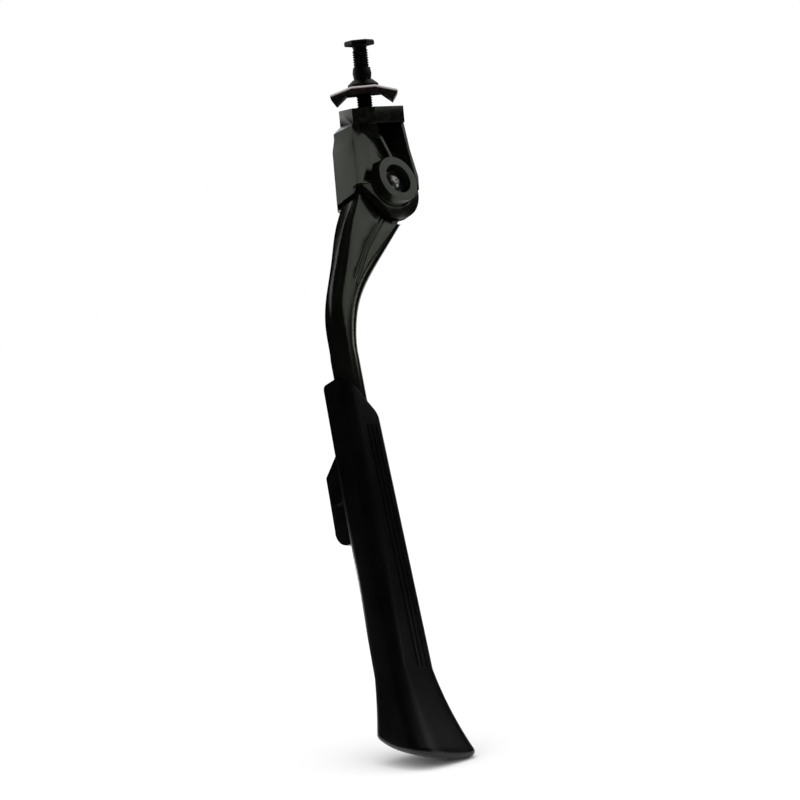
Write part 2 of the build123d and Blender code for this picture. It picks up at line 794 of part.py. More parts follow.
mouth_outline = [
    (mouth_front, -mouth_front_half),
    (mouth_rear, mouth_rear_half),
    (mouth_rear, sleeve_thickness),
    (mouth_front - sleeve_thickness, sleeve_thickness),
    (mouth_front - sleeve_thickness, -mouth_front_half),
]
lever_axis_height = sleeve_half + lever_pivot_height
ear_inside = lever_width / 2 + ear_gap
window_length = tooth_length + 4 * tooth_gap + 2 * lever_gap
with BuildPart() as foot_sleeve:
    with BuildSketch(bar_plane(mouth_front)):
        with Locations((0, (mouth_front_half - mouth_rear_half) / 2)):
            RectangleRounded(sleeve_thickness, mouth_front_half + mouth_rear_half, sleeve_corner)
    with BuildSketch(bar_plane(flare_start)):
        with Locations((0, (shank_front_half - shank_rear_half) / 2)):
            RectangleRounded(sleeve_thickness, shank_front_half + shank_rear_half, sleeve_corner)
    loft()
    add(foot_flare.part)
    for rib in range(sleeve_rib_count):
        shift = rib * sleeve_rib_pitch
        rib_top = Vector(sleeve_half, sleeve_rib_front - shift, sleeve_rib_start)
        rib_end = Vector(sleeve_half, sleeve_rib_end_front - shift, flare_start)
        with BuildLine():
            rib_line = Line(bar_base.from_local_coords(rib_top), bar_base.from_local_coords(rib_end))
        with BuildSketch(Plane(origin=rib_line @ 0, z_dir=rib_line % 0)):
            Circle(sleeve_rib_radius)
        sweep(path=rib_line)
    for side in (1, -1):
        with BuildSketch(bar_side_plane.offset(side * ear_inside)):
            with Locations((lever_pivot_distance, lever_axis_height)):
                Circle(ear_radius)
            with Locations((lever_pivot_distance, lever_axis_height - lever_pivot_height)):
                Rectangle(2 * ear_radius, 2 * lever_pivot_height)
        extrude(amount=side * ear_thickness)
    with BuildSketch(bar_plane(mouth_front)):
        RectangleRounded(bar_size + 2 * bore_gap, bar_size + 2 * bore_gap, bar_corner + bore_gap)
    extrude(amount=bore_bottom - mouth_front, mode=Mode.SUBTRACT)
    with BuildSketch(bar_front_plane):
        with BuildLine():
            Polyline(mouth_outline, close=True)
        make_face()
    extrude(amount=sleeve_thickness, both=True, mode=Mode.SUBTRACT)
    with BuildSketch(bar_side_plane):
        with Locations((tooth_distance, sleeve_half)):
            Rectangle(window_length, 2 * (sleeve_half - key_floor))
    extrude(amount=key_width / 2, both=True, mode=Mode.SUBTRACT)
    with BuildSketch(bar_side_plane.offset(-sleeve_thickness)):
        with Locations((lever_pivot_distance, lever_axis_height)):
            Circle(lever_pin_radius + press_fit)
    extrude(amount=2 * sleeve_thickness, mode=Mode.SUBTRACT)
foot_sleeve.part.label = "foot_sleeve"
export_step(foot_sleeve.part, "parts/foot_sleeve.step")

# Release lever: rocker whose lower end is pressed to lift the tooth out of the rack
lever_base = sleeve_half + lever_gap
lever_crown = sleeve_half + lever_proud
lever_end_crown = sleeve_half + lever_end_proud
press_rise = tan(radians(lever_press)) * lever_tail
spring_rise = tan(radians(lever_press)) * spring_run
spring_roof = lever_base + spring_rise + spring_pocket
spring_seat_plane = Plane(
    origin=bar_side_plane.from_local_coords(Vector(spring_distance, sleeve_half, 0)),
    x_dir=bar_side_plane.x_dir,
    z_dir=bar_side_plane.y_dir,
)
with BuildPart() as release_lever:
    with BuildSketch(bar_side_plane):
        with BuildLine():
            Polyline(
                (lever_bottom, lever_end_crown - lever_end_radius),
                (lever_bottom, lever_base + press_rise),
                (lever_pivot_distance, lever_base),
                (lever_top, lever_base),
                (lever_top + lever_ramp, lever_crown),
                (lever_bottom - lever_end_radius, lever_end_crown),
            )
            RadiusArc(
                (lever_bottom - lever_end_radius, lever_end_crown),
                (lever_bottom, lever_end_crown - lever_end_radius),
                lever_end_radius,
            )
        make_face()
    extrude(amount=lever_width / 2, both=True)
    with BuildSketch(bar_side_plane.offset(-lever_width)):
        with Locations((lever_pivot_distance, lever_axis_height)):
            Circle(lever_pin_radius + running_fit)
    extrude(amount=2 * lever_width, mode=Mode.SUBTRACT)
    with BuildSketch(bar_side_plane):
        with Locations((tooth_distance, lever_base)):
            Rectangle(tooth_length + 2 * press_fit, 2 * (tooth_sunk + press_fit))
    extrude(amount=key_width / 2 - tooth_gap + press_fit, both=True, mode=Mode.SUBTRACT)
    with BuildSketch(spring_seat_plane):
        Circle(spring_radius + pocket_clear)
    extrude(amount=spring_roof - sleeve_half, mode=Mode.SUBTRACT)
release_lever.part.label = "release_lever"
export_step(release_lever.part, "parts/release_lever.step")

with BuildPart() as lever_tooth:
    with BuildSketch(bar_side_plane):
        with BuildLine():
            Polyline(
                (tooth_distance - tooth_length / 2, lever_base + tooth_sunk),
                (tooth_distance + tooth_length / 2, lever_base + tooth_sunk),
                (tooth_distance + tooth_length / 2, bar_size / 2),
                (tooth_distance + notch_length / 2, key_floor + tooth_gap),
                (tooth_distance - notch_length / 2, key_floor + tooth_gap),
                (tooth_distance - tooth_length / 2, bar_size / 2),
                close=True,
            )
        make_face()
    extrude(amount=key_width / 2 - tooth_gap, both=True)
lever_tooth.part.label = "lever_tooth"
export_step(lever_tooth.part, "parts/lever_tooth.step")

with BuildPart() as lever_pin:
    with BuildSketch(bar_side_plane.offset(-ear_inside - ear_thickness)):
        with Locations((lever_pivot_distance, lever_axis_height)):
            Circle(lever_pin_radius)
    extrude(amount=2 * (ear_inside + ear_thickness))
lever_pin.part.label = "lever_pin"
export_step(lever_pin.part, "parts/lever_pin.step")

spring_length = spring_roof - sleeve_half - spring_wire
spring_coil_radius = spring_radius - spring_wire / 2
with BuildPart() as lever_spring:
    with BuildLine(spring_seat_plane.offset(spring_wire / 2)) as lever_coil:
        spring_lead = spring_length / spring_turns
        Helix(spring_lead, spring_length, spring_coil_radius, direction=spring_seat_plane.z_dir)
    with BuildSketch(Plane(origin=lever_coil.line @ 0, z_dir=lever_coil.line % 0)):
        Circle(spring_wire / 2)
    sweep(path=lever_coil.line, is_frenet=True)
lever_spring.part.label = "lever_spring"
export_step(lever_spring.part, "parts/lever_spring.step")
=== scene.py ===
"""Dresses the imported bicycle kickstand: finishes, fine detail, studio and camera."""

import logging
import math
from dataclasses import dataclass, field
from enum import Enum
from typing import Iterable

import bmesh
import bpy
import numpy as np
from mathutils import Matrix, Vector
from mathutils.bvhtree import BVHTree
from mathutils.kdtree import KDTree


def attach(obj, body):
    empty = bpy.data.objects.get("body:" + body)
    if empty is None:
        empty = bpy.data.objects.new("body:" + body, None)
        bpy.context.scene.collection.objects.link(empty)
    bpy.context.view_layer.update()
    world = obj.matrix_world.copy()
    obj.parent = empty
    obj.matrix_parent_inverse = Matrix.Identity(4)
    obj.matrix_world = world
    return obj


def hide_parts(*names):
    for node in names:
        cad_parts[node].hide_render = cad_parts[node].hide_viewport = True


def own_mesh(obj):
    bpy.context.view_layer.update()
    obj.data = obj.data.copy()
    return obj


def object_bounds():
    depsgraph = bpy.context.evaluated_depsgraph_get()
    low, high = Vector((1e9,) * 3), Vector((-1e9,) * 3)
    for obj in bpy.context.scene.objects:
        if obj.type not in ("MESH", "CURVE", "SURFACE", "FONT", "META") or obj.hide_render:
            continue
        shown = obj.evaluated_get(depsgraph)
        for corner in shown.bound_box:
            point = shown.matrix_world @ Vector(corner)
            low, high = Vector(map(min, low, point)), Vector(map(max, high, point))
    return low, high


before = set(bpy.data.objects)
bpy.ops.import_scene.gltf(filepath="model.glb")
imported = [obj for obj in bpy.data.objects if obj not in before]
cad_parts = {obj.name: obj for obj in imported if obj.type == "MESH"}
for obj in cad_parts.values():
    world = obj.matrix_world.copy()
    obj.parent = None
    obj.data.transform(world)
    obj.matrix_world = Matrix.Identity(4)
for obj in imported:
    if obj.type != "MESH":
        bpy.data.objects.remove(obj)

CAD_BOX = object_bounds()
MM = 0.001
EDGE_MARK = "edge"
LOG = logging.getLogger("kickstand")

Colour = tuple[float, float, float]
Point = tuple[float, float, float]


class Slot(Enum):
    """The record's material slots."""

    PAINT = "black_paint"
    OXIDE = "black_steel"
    PLATE = "plate_steel"
    BRIGHT = "bright_steel"
    SPRING = "spring_steel"
    BRONZE = "bronze"
    NYLON = "black_nylon"
    FOOT = "foot_plastic"
    LEVER = "lever_plastic"


class Body(Enum):
    """The moving bodies of the stand."""

    HEAD = "head"
    STACK = "washer_stack"
    PLATE = "plate"
    LEG = "leg"
    FOOT = "foot"
    LEVER = "lever"


class Socket(Enum):
    """The kinds of socket that the node groups have."""

    FLOAT = "NodeSocketFloat"
    INTEGER = "NodeSocketInt"
    COLOUR = "NodeSocketColor"
    GEOMETRY = "NodeSocketGeometry"
    MATERIAL = "NodeSocketMaterial"


# Helpers for node trees


def add_input(tree: bpy.types.NodeTree, name: str, kind: Socket, value: float | None = None) -> None:
    """Adds one named input to a node group.

    Args:
        tree: The group.
        name: The input's name.
        kind: Its type.
        value: Its default, where it has one.
    """
    socket = tree.interface.new_socket(name=name, in_out="INPUT", socket_type=kind.value)
    if value is not None:
        socket.default_value = value


def add_output(tree: bpy.types.NodeTree, name: str, kind: Socket) -> None:
    """Adds one named output to a node group."""
    tree.interface.new_socket(name=name, in_out="OUTPUT", socket_type=kind.value)


def worked_out(
    tree: bpy.types.NodeTree,
    operation: str,
    first: bpy.types.NodeSocket,
    second: bpy.types.NodeSocket | float,
) -> bpy.types.NodeSocket:
    """Adds a Math node on two values.

    Args:
        tree: The tree it joins.
        operation: The node's operation, such as MULTIPLY.
        first: The first value.
        second: The second value, a socket or a plain number.

    Returns:
        The result.
    """
    node = tree.nodes.new("ShaderNodeMath")
    node.operation = operation
    tree.links.new(first, node.inputs[0])
    if isinstance(second, bpy.types.NodeSocket):
        tree.links.new(second, node.inputs[1])
    else:
        node.inputs[1].default_value = second
    return node.outputs["Value"]


def object_noise(tree: bpy.types.NodeTree) -> bpy.types.Node:
    """Adds a noise that reads Object coordinates.

    Args:
        tree: The shader group it joins.

    Returns:
        The noise node.
    """
    place = tree.nodes.new("ShaderNodeTexCoord")
    noise = tree.nodes.new("ShaderNodeTexNoise")
    tree.links.new(place.outputs["Object"], noise.inputs["Vector"])
    return noise


def spread_band(
    tree: bpy.types.NodeTree, source: bpy.types.NodeSocket, band: tuple[float, float]
) -> bpy.types.Node:
    """Adds a Map Range node that spreads a band of values over 0 to 1, or over limits linked to it later.

    Args:
        tree: The shader group it joins.
        source: The values.
        band: The band's lowest and highest value.

    Returns:
        The Map Range node.
    """
    spread = tree.nodes.new("ShaderNodeMapRange")
    spread.inputs["From Min"].default_value = band[0]
    spread.inputs["From Max"].default_value = band[1]
    tree.links.new(source, spread.inputs["Value"])
    return spread


def mixed_colour(
    tree: bpy.types.NodeTree,
    share: bpy.types.NodeSocket,
    base: bpy.types.NodeSocket,
    over: bpy.types.NodeSocket,
) -> bpy.types.NodeSocket:
    """Adds a Mix node for two colours.

    Args:
        tree: The shader group it joins.
        share: The second colour's share.
        base: The first colour.
        over: The second colour.

    Returns:
        The mixed colour.
    """
    mix = tree.nodes.new("ShaderNodeMix")
    mix.data_type = "RGBA"
    tree.links.new(share, mix.inputs["Factor"])
    tree.links.new(base, mix.inputs["A"])
    tree.links.new(over, mix.inputs["B"])
    return mix.outputs["Result"]


# Shader groups

# A band is the lowest and highest value of a noise, or of a normal's upward part, that an effect spreads out.
GRAIN_BAND = (0.32, 0.68)
DRIFT_BAND = (0.35, 0.65)
DRIFT_DETAIL = 4.0
PATCH_BAND = (0.45, 0.62)
PATCH_SCALE = 420.0
PATCH_DETAIL = 5.0
# The painted highlight on faces that look up fades in over this band of the normal's upward part.
UPWARD_BAND = (0.1, 0.6)


def build_grain_group() -> bpy.types.NodeTree:
    """Builds the fine-grain group: a noise in object space, as a value between two limits and as a height.

    Returns:
        The shader node group.
    """
    tree = bpy.data.node_groups.new("fine_grain", "ShaderNodeTree")
    add_input(tree, "Scale", Socket.FLOAT, 600.0)
    add_input(tree, "Detail", Socket.FLOAT, 3.0)
    add_input(tree, "Low", Socket.FLOAT, 0.3)
    add_input(tree, "High", Socket.FLOAT, 0.5)
    add_output(tree, "Value", Socket.FLOAT)
    add_output(tree, "Height", Socket.FLOAT)
    nodes, links = tree.nodes, tree.links
    entry, leave = nodes.new("NodeGroupInput"), nodes.new("NodeGroupOutput")
    noise = object_noise(tree)
    spread = spread_band(tree, noise.outputs["Fac"], GRAIN_BAND)
    links.new(entry.outputs["Scale"], noise.inputs["Scale"])
    links.new(entry.outputs["Detail"], noise.inputs["Detail"])
    links.new(entry.outputs["Low"], spread.inputs["To Min"])
    links.new(entry.outputs["High"], spread.inputs["To Max"])
    links.new(spread.outputs["Result"], leave.inputs["Value"])
    links.new(noise.outputs["Fac"], leave.inputs["Height"])
    return tree


def build_drift_group() -> bpy.types.NodeTree:
    """Builds the tone-drift group: two close tones that wander into each other over the surface.

    Returns:
        The shader node group.
    """
    tree = bpy.data.node_groups.new("tone_drift", "ShaderNodeTree")
    add_input(tree, "Deep", Socket.COLOUR)
    add_input(tree, "Light", Socket.COLOUR)
    add_input(tree, "Scale", Socket.FLOAT, 60.0)
    add_output(tree, "Color", Socket.COLOUR)
    nodes, links = tree.nodes, tree.links
    entry, leave = nodes.new("NodeGroupInput"), nodes.new("NodeGroupOutput")
    noise = object_noise(tree)
    noise.inputs["Detail"].default_value = DRIFT_DETAIL
    spread = spread_band(tree, noise.outputs["Fac"], DRIFT_BAND)
    tone = mixed_colour(tree, spread.outputs["Result"], entry.outputs["Deep"], entry.outputs["Light"])
    links.new(entry.outputs["Scale"], noise.inputs["Scale"])
    links.new(tone, leave.inputs["Color"])
    return tree


def build_edge_group() -> bpy.types.NodeTree:
    """Builds the worn-edge group: along the edges that the mesh marks the colour rubs through in patches.

    Returns:
        The shader node group.
    """
    tree = bpy.data.node_groups.new("worn_edges", "ShaderNodeTree")
    add_input(tree, "Base", Socket.COLOUR)
    add_input(tree, "Worn", Socket.COLOUR)
    add_input(tree, "Amount", Socket.FLOAT, 0.3)
    add_output(tree, "Color", Socket.COLOUR)
    nodes, links = tree.nodes, tree.links
    entry, leave = nodes.new("NodeGroupInput"), nodes.new("NodeGroupOutput")
    mark = nodes.new("ShaderNodeAttribute")
    mark.attribute_name = EDGE_MARK
    noise = object_noise(tree)
    noise.inputs["Scale"].default_value = PATCH_SCALE
    noise.inputs["Detail"].default_value = PATCH_DETAIL
    patch = spread_band(tree, noise.outputs["Fac"], PATCH_BAND)
    along = worked_out(tree, "MULTIPLY", mark.outputs["Fac"], patch.outputs["Result"])
    share = worked_out(tree, "MULTIPLY", along, entry.outputs["Amount"])
    links.new(mixed_colour(tree, share, entry.outputs["Base"], entry.outputs["Worn"]), leave.inputs["Color"])
    return tree


def build_upper_group() -> bpy.types.NodeTree:
    """Builds the painted top-highlight group: the faces that look up get a brighter tone, a painted highlight
    for the light that they reflect.

    Returns:
        The shader node group.
    """
    tree = bpy.data.node_groups.new("rubbed_top", "ShaderNodeTree")
    add_input(tree, "Base", Socket.COLOUR)
    add_input(tree, "Rubbed", Socket.COLOUR)
    add_output(tree, "Color", Socket.COLOUR)
    nodes, links = tree.nodes, tree.links
    entry, leave = nodes.new("NodeGroupInput"), nodes.new("NodeGroupOutput")
    surface = nodes.new("ShaderNodeNewGeometry")
    part = nodes.new("ShaderNodeSeparateXYZ")
    spread = spread_band(tree, part.outputs["Z"], UPWARD_BAND)
    spread.interpolation_type = "SMOOTHSTEP"
    tone = mixed_colour(tree, spread.outputs["Result"], entry.outputs["Base"], entry.outputs["Rubbed"])
    links.new(surface.outputs["Normal"], part.inputs["Vector"])
    links.new(tone, leave.inputs["Color"])
    return tree


@dataclass
class ShaderKit:
    """The shared shader groups, built once.

    Attributes:
        grain: Fine grain for roughness and bump.
        drift: Slow drift between two tones.
        edges: Wear along the marked edges.
        upper: Painted highlight on the faces that look up.
    """

    grain: bpy.types.NodeTree = field(default_factory=build_grain_group)
    drift: bpy.types.NodeTree = field(default_factory=build_drift_group)
    edges: bpy.types.NodeTree = field(default_factory=build_edge_group)
    upper: bpy.types.NodeTree = field(default_factory=build_upper_group)


def place_group(
    nodes: bpy.types.Nodes, group: bpy.types.NodeTree, values: dict[str, object]
) -> bpy.types.Node:
    """Places a shader group in a material.

    Args:
        nodes: The material's nodes.
        group: The group.
        values: The values of its inputs, by name.

    Returns:
        The group's node.
    """
    node = nodes.new("ShaderNodeGroup")
    node.node_tree = group
    for name, value in values.items():
        node.inputs[name].default_value = value
    return node


# Finishes


@dataclass(frozen=True)
class Finish:
    """One surface finish, with its sizes in the real surface's scale.

    Attributes:
        slot: The record's slot that the finish stands for.
        deep: The darker of the two tones.
        light: The lighter of the two tones.
        worn: The tone that shows along worn edges.
        rough: The lowest and highest roughness.
        wear: How much of the edges is worn, from 0 to 1.
        metallic: Metallic, one value all over.
        specular: Specular level, one value all over.
        tint: The tint of the sheen.
        painted_highlight: The tone of the faces that look up, a painted highlight for the light that they
            reflect, where there is one.
        drift_scale: Waves of tone per metre.
        grain_scale: Grains per metre.
        grain_detail: Octaves of the grain.
        bump: Strength of the grain's bump.
        bump_depth: Depth of the grain in metres.
    """

    slot: Slot
    deep: Colour
    light: Colour
    worn: Colour
    rough: tuple[float, float]
    wear: float = 0.3
    metallic: float = 0.0
    specular: float = 0.5
    tint: Colour = (1.0, 1.0, 1.0)
    painted_highlight: Colour | None = None
    drift_scale: float = 60.0
    grain_scale: float = 600.0
    grain_detail: float = 3.0
    bump: float = 0.1
    bump_depth: float = 0.00005

    def material(self, kit: ShaderKit) -> bpy.types.Material:
        """Builds the node material.

        Args:
            kit: The shared shader groups.

        Returns:
            The material.
        """
        made = bpy.data.materials.new(self.slot.value + "_finish")
        made.use_nodes = True
        nodes, links = made.node_tree.nodes, made.node_tree.links
        shader = nodes["Principled BSDF"]
        shader.inputs["Metallic"].default_value = self.metallic
        shader.inputs["Specular IOR Level"].default_value = self.specular
        shader.inputs["Specular Tint"].default_value = (*self.tint, 1.0)
        drift = place_group(nodes, kit.drift, {
            "Deep": (*self.deep, 1.0),
            "Light": (*self.light, 1.0),
            "Scale": self.drift_scale,
        })
        edges = place_group(nodes, kit.edges, {"Worn": (*self.worn, 1.0), "Amount": self.wear})
        grain = place_group(nodes, kit.grain, {
            "Scale": self.grain_scale,
            "Detail": self.grain_detail,
            "Low": self.rough[0],
            "High": self.rough[1],
        })
        bump = nodes.new("ShaderNodeBump")
        bump.inputs["Strength"].default_value = self.bump
        bump.inputs["Distance"].default_value = self.bump_depth
        links.new(drift.outputs["Color"], edges.inputs["Base"])
        colour = edges.outputs["Color"]
        # Faces that look up get a painted highlight: a lighter tone for the light that they reflect.
        if self.painted_highlight is not None:
            upper = place_group(nodes, kit.upper, {"Rubbed": (*self.painted_highlight, 1.0)})
            links.new(colour, upper.inputs["Base"])
            colour = upper.outputs["Color"]
        links.new(colour, shader.inputs["Base Color"])
        links.new(grain.outputs["Value"], shader.inputs["Roughness"])
        links.new(grain.outputs["Height"], bump.inputs["Height"])
        links.new(bump.outputs["Normal"], shader.inputs["Normal"])
        return made


FINISHES: tuple[Finish, ...] = (
    Finish(
        Slot.PAINT, deep=(0.0014, 0.0016, 0.0012), light=(0.003, 0.0033, 0.0026), worn=(0.012, 0.012, 0.011),
        rough=(0.17, 0.22), specular=0.42, tint=(0.86, 1.0, 0.76), drift_scale=45.0, grain_scale=1400.0,
        bump=0.05, bump_depth=0.00004,
    ),
    Finish(
        Slot.OXIDE, deep=(0.0006, 0.0006, 0.0006), light=(0.0015, 0.0014, 0.0014),
        worn=(0.008, 0.0075, 0.007), rough=(0.36, 0.46), wear=0.4, specular=0.1, drift_scale=160.0,
        grain_scale=1500.0,
    ),
    Finish(
        Slot.PLATE, deep=(0.002, 0.001, 0.0012), light=(0.006, 0.003, 0.0035), worn=(0.02, 0.014, 0.014),
        # The plate's lighter tone on its upward faces is a painted highlight for the light that its top
        # reflects.
        rough=(0.3, 0.42), wear=0.4, specular=0.2, painted_highlight=(0.42, 0.37, 0.375), drift_scale=120.0,
        grain_scale=1300.0, bump=0.08,
    ),
    Finish(
        Slot.BRIGHT, deep=(0.22, 0.22, 0.21), light=(0.28, 0.28, 0.27), worn=(0.4, 0.39, 0.38),
        rough=(0.26, 0.34), metallic=1.0, drift_scale=200.0, grain_scale=2200.0, bump=0.04,
    ),
    Finish(
        Slot.SPRING, deep=(0.24, 0.24, 0.24), light=(0.38, 0.37, 0.36), worn=(0.6, 0.6, 0.58),
        rough=(0.22, 0.36), metallic=1.0, drift_scale=250.0, grain_scale=2600.0, bump=0.06,
    ),
    Finish(
        Slot.BRONZE, deep=(0.30, 0.17, 0.07), light=(0.44, 0.27, 0.12), worn=(0.6, 0.42, 0.22),
        rough=(0.26, 0.42), wear=0.4, metallic=1.0, drift_scale=220.0, grain_scale=2600.0,
    ),
    Finish(
        Slot.NYLON, deep=(0.0006, 0.0006, 0.0006), light=(0.0015, 0.0015, 0.0015), worn=(0.006, 0.006, 0.006),
        rough=(0.42, 0.55), specular=0.15, drift_scale=200.0, grain_scale=2400.0,
    ),
    Finish(
        Slot.FOOT, deep=(0.0006, 0.0007, 0.0006), light=(0.0014, 0.0016, 0.0014), worn=(0.006, 0.006, 0.006),
        rough=(0.30, 0.38), specular=0.4, drift_scale=50.0, grain_scale=2200.0, bump=0.12,
    ),
    Finish(
        Slot.LEVER, deep=(0.0007, 0.0007, 0.0007), light=(0.0016, 0.0016, 0.0016), worn=(0.007, 0.007, 0.007),
        rough=(0.32, 0.42), specular=0.35, drift_scale=90.0, grain_scale=2000.0,
    ),
)


class Paintbox:
    """Makes each finish's material once and hands it out by slot."""

    def __init__(self) -> None:
        """Builds every material from the list of finishes."""
        kit = ShaderKit()
        self.by_slot: dict[Slot, bpy.types.Material] = {f.slot: f.material(kit) for f in FINISHES}

    def of(self, slot: Slot) -> bpy.types.Material:
        """Gives the material of a slot."""
        return self.by_slot[slot]


# Helpers for meshes

# Vertices within this many mm are joined, and faces within this many degrees are one flat face.
MERGE = 0.002
FLAT_TURN = 0.15

# The shares of an easing's full width that are tried in turn, and the roundness of the eased edge.
EASE_SHARES = (1.0, 0.75, 0.55, 0.4, 0.3)
EASE_PROFILE = 0.6

# A face is astray past this share of the easing's width plus this many mm, or if it faces another way.
STRAY_SHARE = 0.75
STRAY_SLACK = 0.05
STRAY_TURN = 0.2


def piece_from_mesh(name: str, mesh: bpy.types.Mesh, material: bpy.types.Material) -> bpy.types.Object:
    """Makes a scene object at the origin from a finished mesh.

    Args:
        name: The piece's name.
        mesh: The mesh, with its place in its vertices.
        material: The one material it wears.

    Returns:
        The new object.
    """
    mesh.materials.clear()
    mesh.materials.append(material)
    piece = bpy.data.objects.new(name, mesh)
    bpy.context.scene.collection.objects.link(piece)
    return piece


def plain_mesh(carrier: bpy.types.Object) -> bpy.types.Mesh:
    """Turns an object with modifiers into a plain mesh and removes the object.

    Args:
        carrier: The object whose modifiers are live.

    Returns:
        The evaluated mesh.
    """
    bpy.context.view_layer.update()
    graph = bpy.context.evaluated_depsgraph_get()
    mesh = bpy.data.meshes.new_from_object(carrier.evaluated_get(graph), depsgraph=graph)
    spare = carrier.data
    bpy.data.objects.remove(carrier)
    if spare and spare.users == 0:
        bpy.data.meshes.remove(spare)
    return mesh


def even_normals(
    mesh: bpy.types.Mesh, reach: float = 0.8, limit: float = 30.0, largest: float = 1.0
) -> bpy.types.Mesh:
    """Shades a mesh smooth: each corner takes the mean of the near faces that turn little from its own.

    Args:
        mesh: The mesh to shade.
        reach: How far round a corner the faces count, in mm.
        limit: The turn in degrees from which a face no longer counts.
        largest: The area up to which a face counts by its size, in square mm.

    Returns:
        The same mesh, with those normals.
    """
    count = len(mesh.polygons)
    centres, normals = np.empty(count * 3), np.empty(count * 3)
    areas = np.empty(count)
    mesh.polygons.foreach_get("center", centres)
    mesh.polygons.foreach_get("normal", normals)
    mesh.polygons.foreach_get("area", areas)
    normals = normals.reshape(-1, 3)
    weights = np.minimum(areas, largest * MM * MM)
    places = KDTree(count)
    for i, centre in enumerate(centres.reshape(-1, 3)):
        places.insert(centre, i)
    places.balance()
    round_vertex: list[set[int]] = [set() for _ in mesh.vertices]
    for face in mesh.polygons:
        for v in face.vertices:
            round_vertex[v].add(face.index)
    near: list[np.ndarray] = []
    for vertex, own in zip(mesh.vertices, round_vertex):
        own.update(i for _, i, _ in places.find_range(vertex.co, reach * MM))
        near.append(np.fromiter(sorted(own), dtype=int))
    least = math.cos(math.radians(limit))
    custom: list[Point] = []
    for face in mesh.polygons:
        for v in face.vertices:
            chosen = near[v][normals[near[v]] @ normals[face.index] > least]
            mean = weights[chosen] @ normals[chosen]
            length = float(np.linalg.norm(mean))
            custom.append(tuple(mean / length) if length > 0.0 else tuple(normals[face.index]))
    mesh.polygons.foreach_set("use_smooth", [True] * count)
    mesh.normals_split_custom_set(custom)
    return mesh


@dataclass(frozen=True)
class EdgeBreak:
    """How the sharp edges of a copied solid are eased.

    Attributes:
        width: The width of the eased edge, in mm.
        segments: The steps across it.
        angle: The angle in degrees from which an edge counts as sharp.
        shortest: Shorter edges stay sharp, in mm.
        upward: Edges stay sharp when neither of their faces looks up by this share.
        stray: The share of the surface that may leave the solid before a narrower width is tried.
        inner: Whether inner corners are eased too.
    """

    width: float = 0.35
    segments: int = 2
    angle: float = 32.0
    shortest: float = 0.0
    upward: float = -1.1
    stray: float = 0.003
    inner: bool = True

    def takes(self, edge: bmesh.types.BMEdge) -> bool:
        """Tells whether an edge is one to ease.

        Args:
            edge: The edge of a closed mesh, in metres.

        Returns:
            True if the edge is sharp and none of the limits leaves it out.
        """
        return (
            len(edge.link_faces) == 2
            and edge.calc_face_angle(0.0) > math.radians(self.angle)
            and edge.calc_length() >= self.shortest * MM
            and max(f.normal.z for f in edge.link_faces) > self.upward
            and (self.inner or edge.is_convex)
        )


def merged_solid(node: str) -> bmesh.types.BMesh:
    """Copies a solid's mesh, joins its loose triangles and then its flat faces.

    Args:
        node: The CAD node to copy.

    Returns:
        The copy, in metres.
    """
    work = bmesh.new()
    work.from_mesh(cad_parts[node].data)
    bmesh.ops.remove_doubles(work, verts=work.verts, dist=MERGE * MM)
    bmesh.ops.dissolve_degenerate(work, dist=MERGE * MM, edges=work.edges)
    bmesh.ops.dissolve_limit(work, angle_limit=math.radians(FLAT_TURN), verts=work.verts, edges=work.edges)
    return work


def stray_share(work: bmesh.types.BMesh, solid: BVHTree, width: float) -> float:
    """Measures how much of an eased mesh has left the solid's surface.

    Args:
        work: The eased mesh.
        solid: The solid's surface.
        width: The width of the easing, in mm.

    Returns:
        The share of the area, from 0 to 1.
    """
    copy = work.copy()
    bmesh.ops.triangulate(copy, faces=copy.faces[:])
    total, lost = 0.0, 0.0
    for face in copy.faces:
        area = face.calc_area()
        total += area
        _, normal, _, distance = solid.find_nearest(face.calc_center_median())
        if distance > (STRAY_SHARE * width + STRAY_SLACK) * MM or face.normal.dot(normal) < STRAY_TURN:
            lost += area
    copy.free()
    return lost / total


def eased_copy(node: str, ease: EdgeBreak) -> bpy.types.Mesh:
    """Copies a solid's mesh, eases its sharp edges as far as they hold and marks them for wear.

    Args:
        node: The CAD node to copy.
        ease: The easing of its edges.

    Returns:
        The new mesh, shaded smooth.
    """
    source = merged_solid(node)
    solid = BVHTree.FromBMesh(source)
    low = [min(v.co[i] for v in source.verts) for i in range(3)]
    high = [max(v.co[i] for v in source.verts) for i in range(3)]
    for share in EASE_SHARES:
        work = source.copy()
        mark = work.verts.layers.float.new(EDGE_MARK)
        made = bmesh.ops.bevel(
            work, geom=[e for e in work.edges if ease.takes(e)], offset=ease.width * share * MM,
            offset_type="OFFSET", affect="EDGES", segments=ease.segments, profile=EASE_PROFILE,
            clamp_overlap=False, loop_slide=True,
        )
        for face in made["faces"]:
            for vert in face.verts:
                vert[mark] = 1.0
        lost = stray_share(work, solid, ease.width * share)
        if lost < ease.stray or share == EASE_SHARES[-1]:
            LOG.info("%s eased by %.2f mm, %.2f %% astray", node, ease.width * share, 100 * lost)
            break
        work.free()
    bmesh.ops.remove_doubles(work, verts=work.verts, dist=MERGE / 2 * MM)
    for vert in work.verts:
        vert.co = [min(max(vert.co[i], low[i]), high[i]) for i in range(3)]
    mesh = bpy.data.meshes.new(node + "_eased")
    work.to_mesh(mesh)
    work.free()
    source.free()
    return even_normals(mesh)


def dress_copy(name: str, node: str, body: Body, slot: Slot, paints: Paintbox, ease: EdgeBreak) -> None:
    """Replaces a CAD node by its eased copy in the right finish.

    Args:
        name: The new piece's name.
        node: The CAD node it stands for.
        body: The body it rides on.
        slot: The record's slot of its finish.
        paints: The materials.
        ease: The easing of its edges.
    """
    piece = piece_from_mesh(name, eased_copy(node, ease), paints.of(slot))
    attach(piece, body.value)
    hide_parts(node)
    LOG.info("%s stands for %s, %d faces", name, node, len(piece.data.polygons))


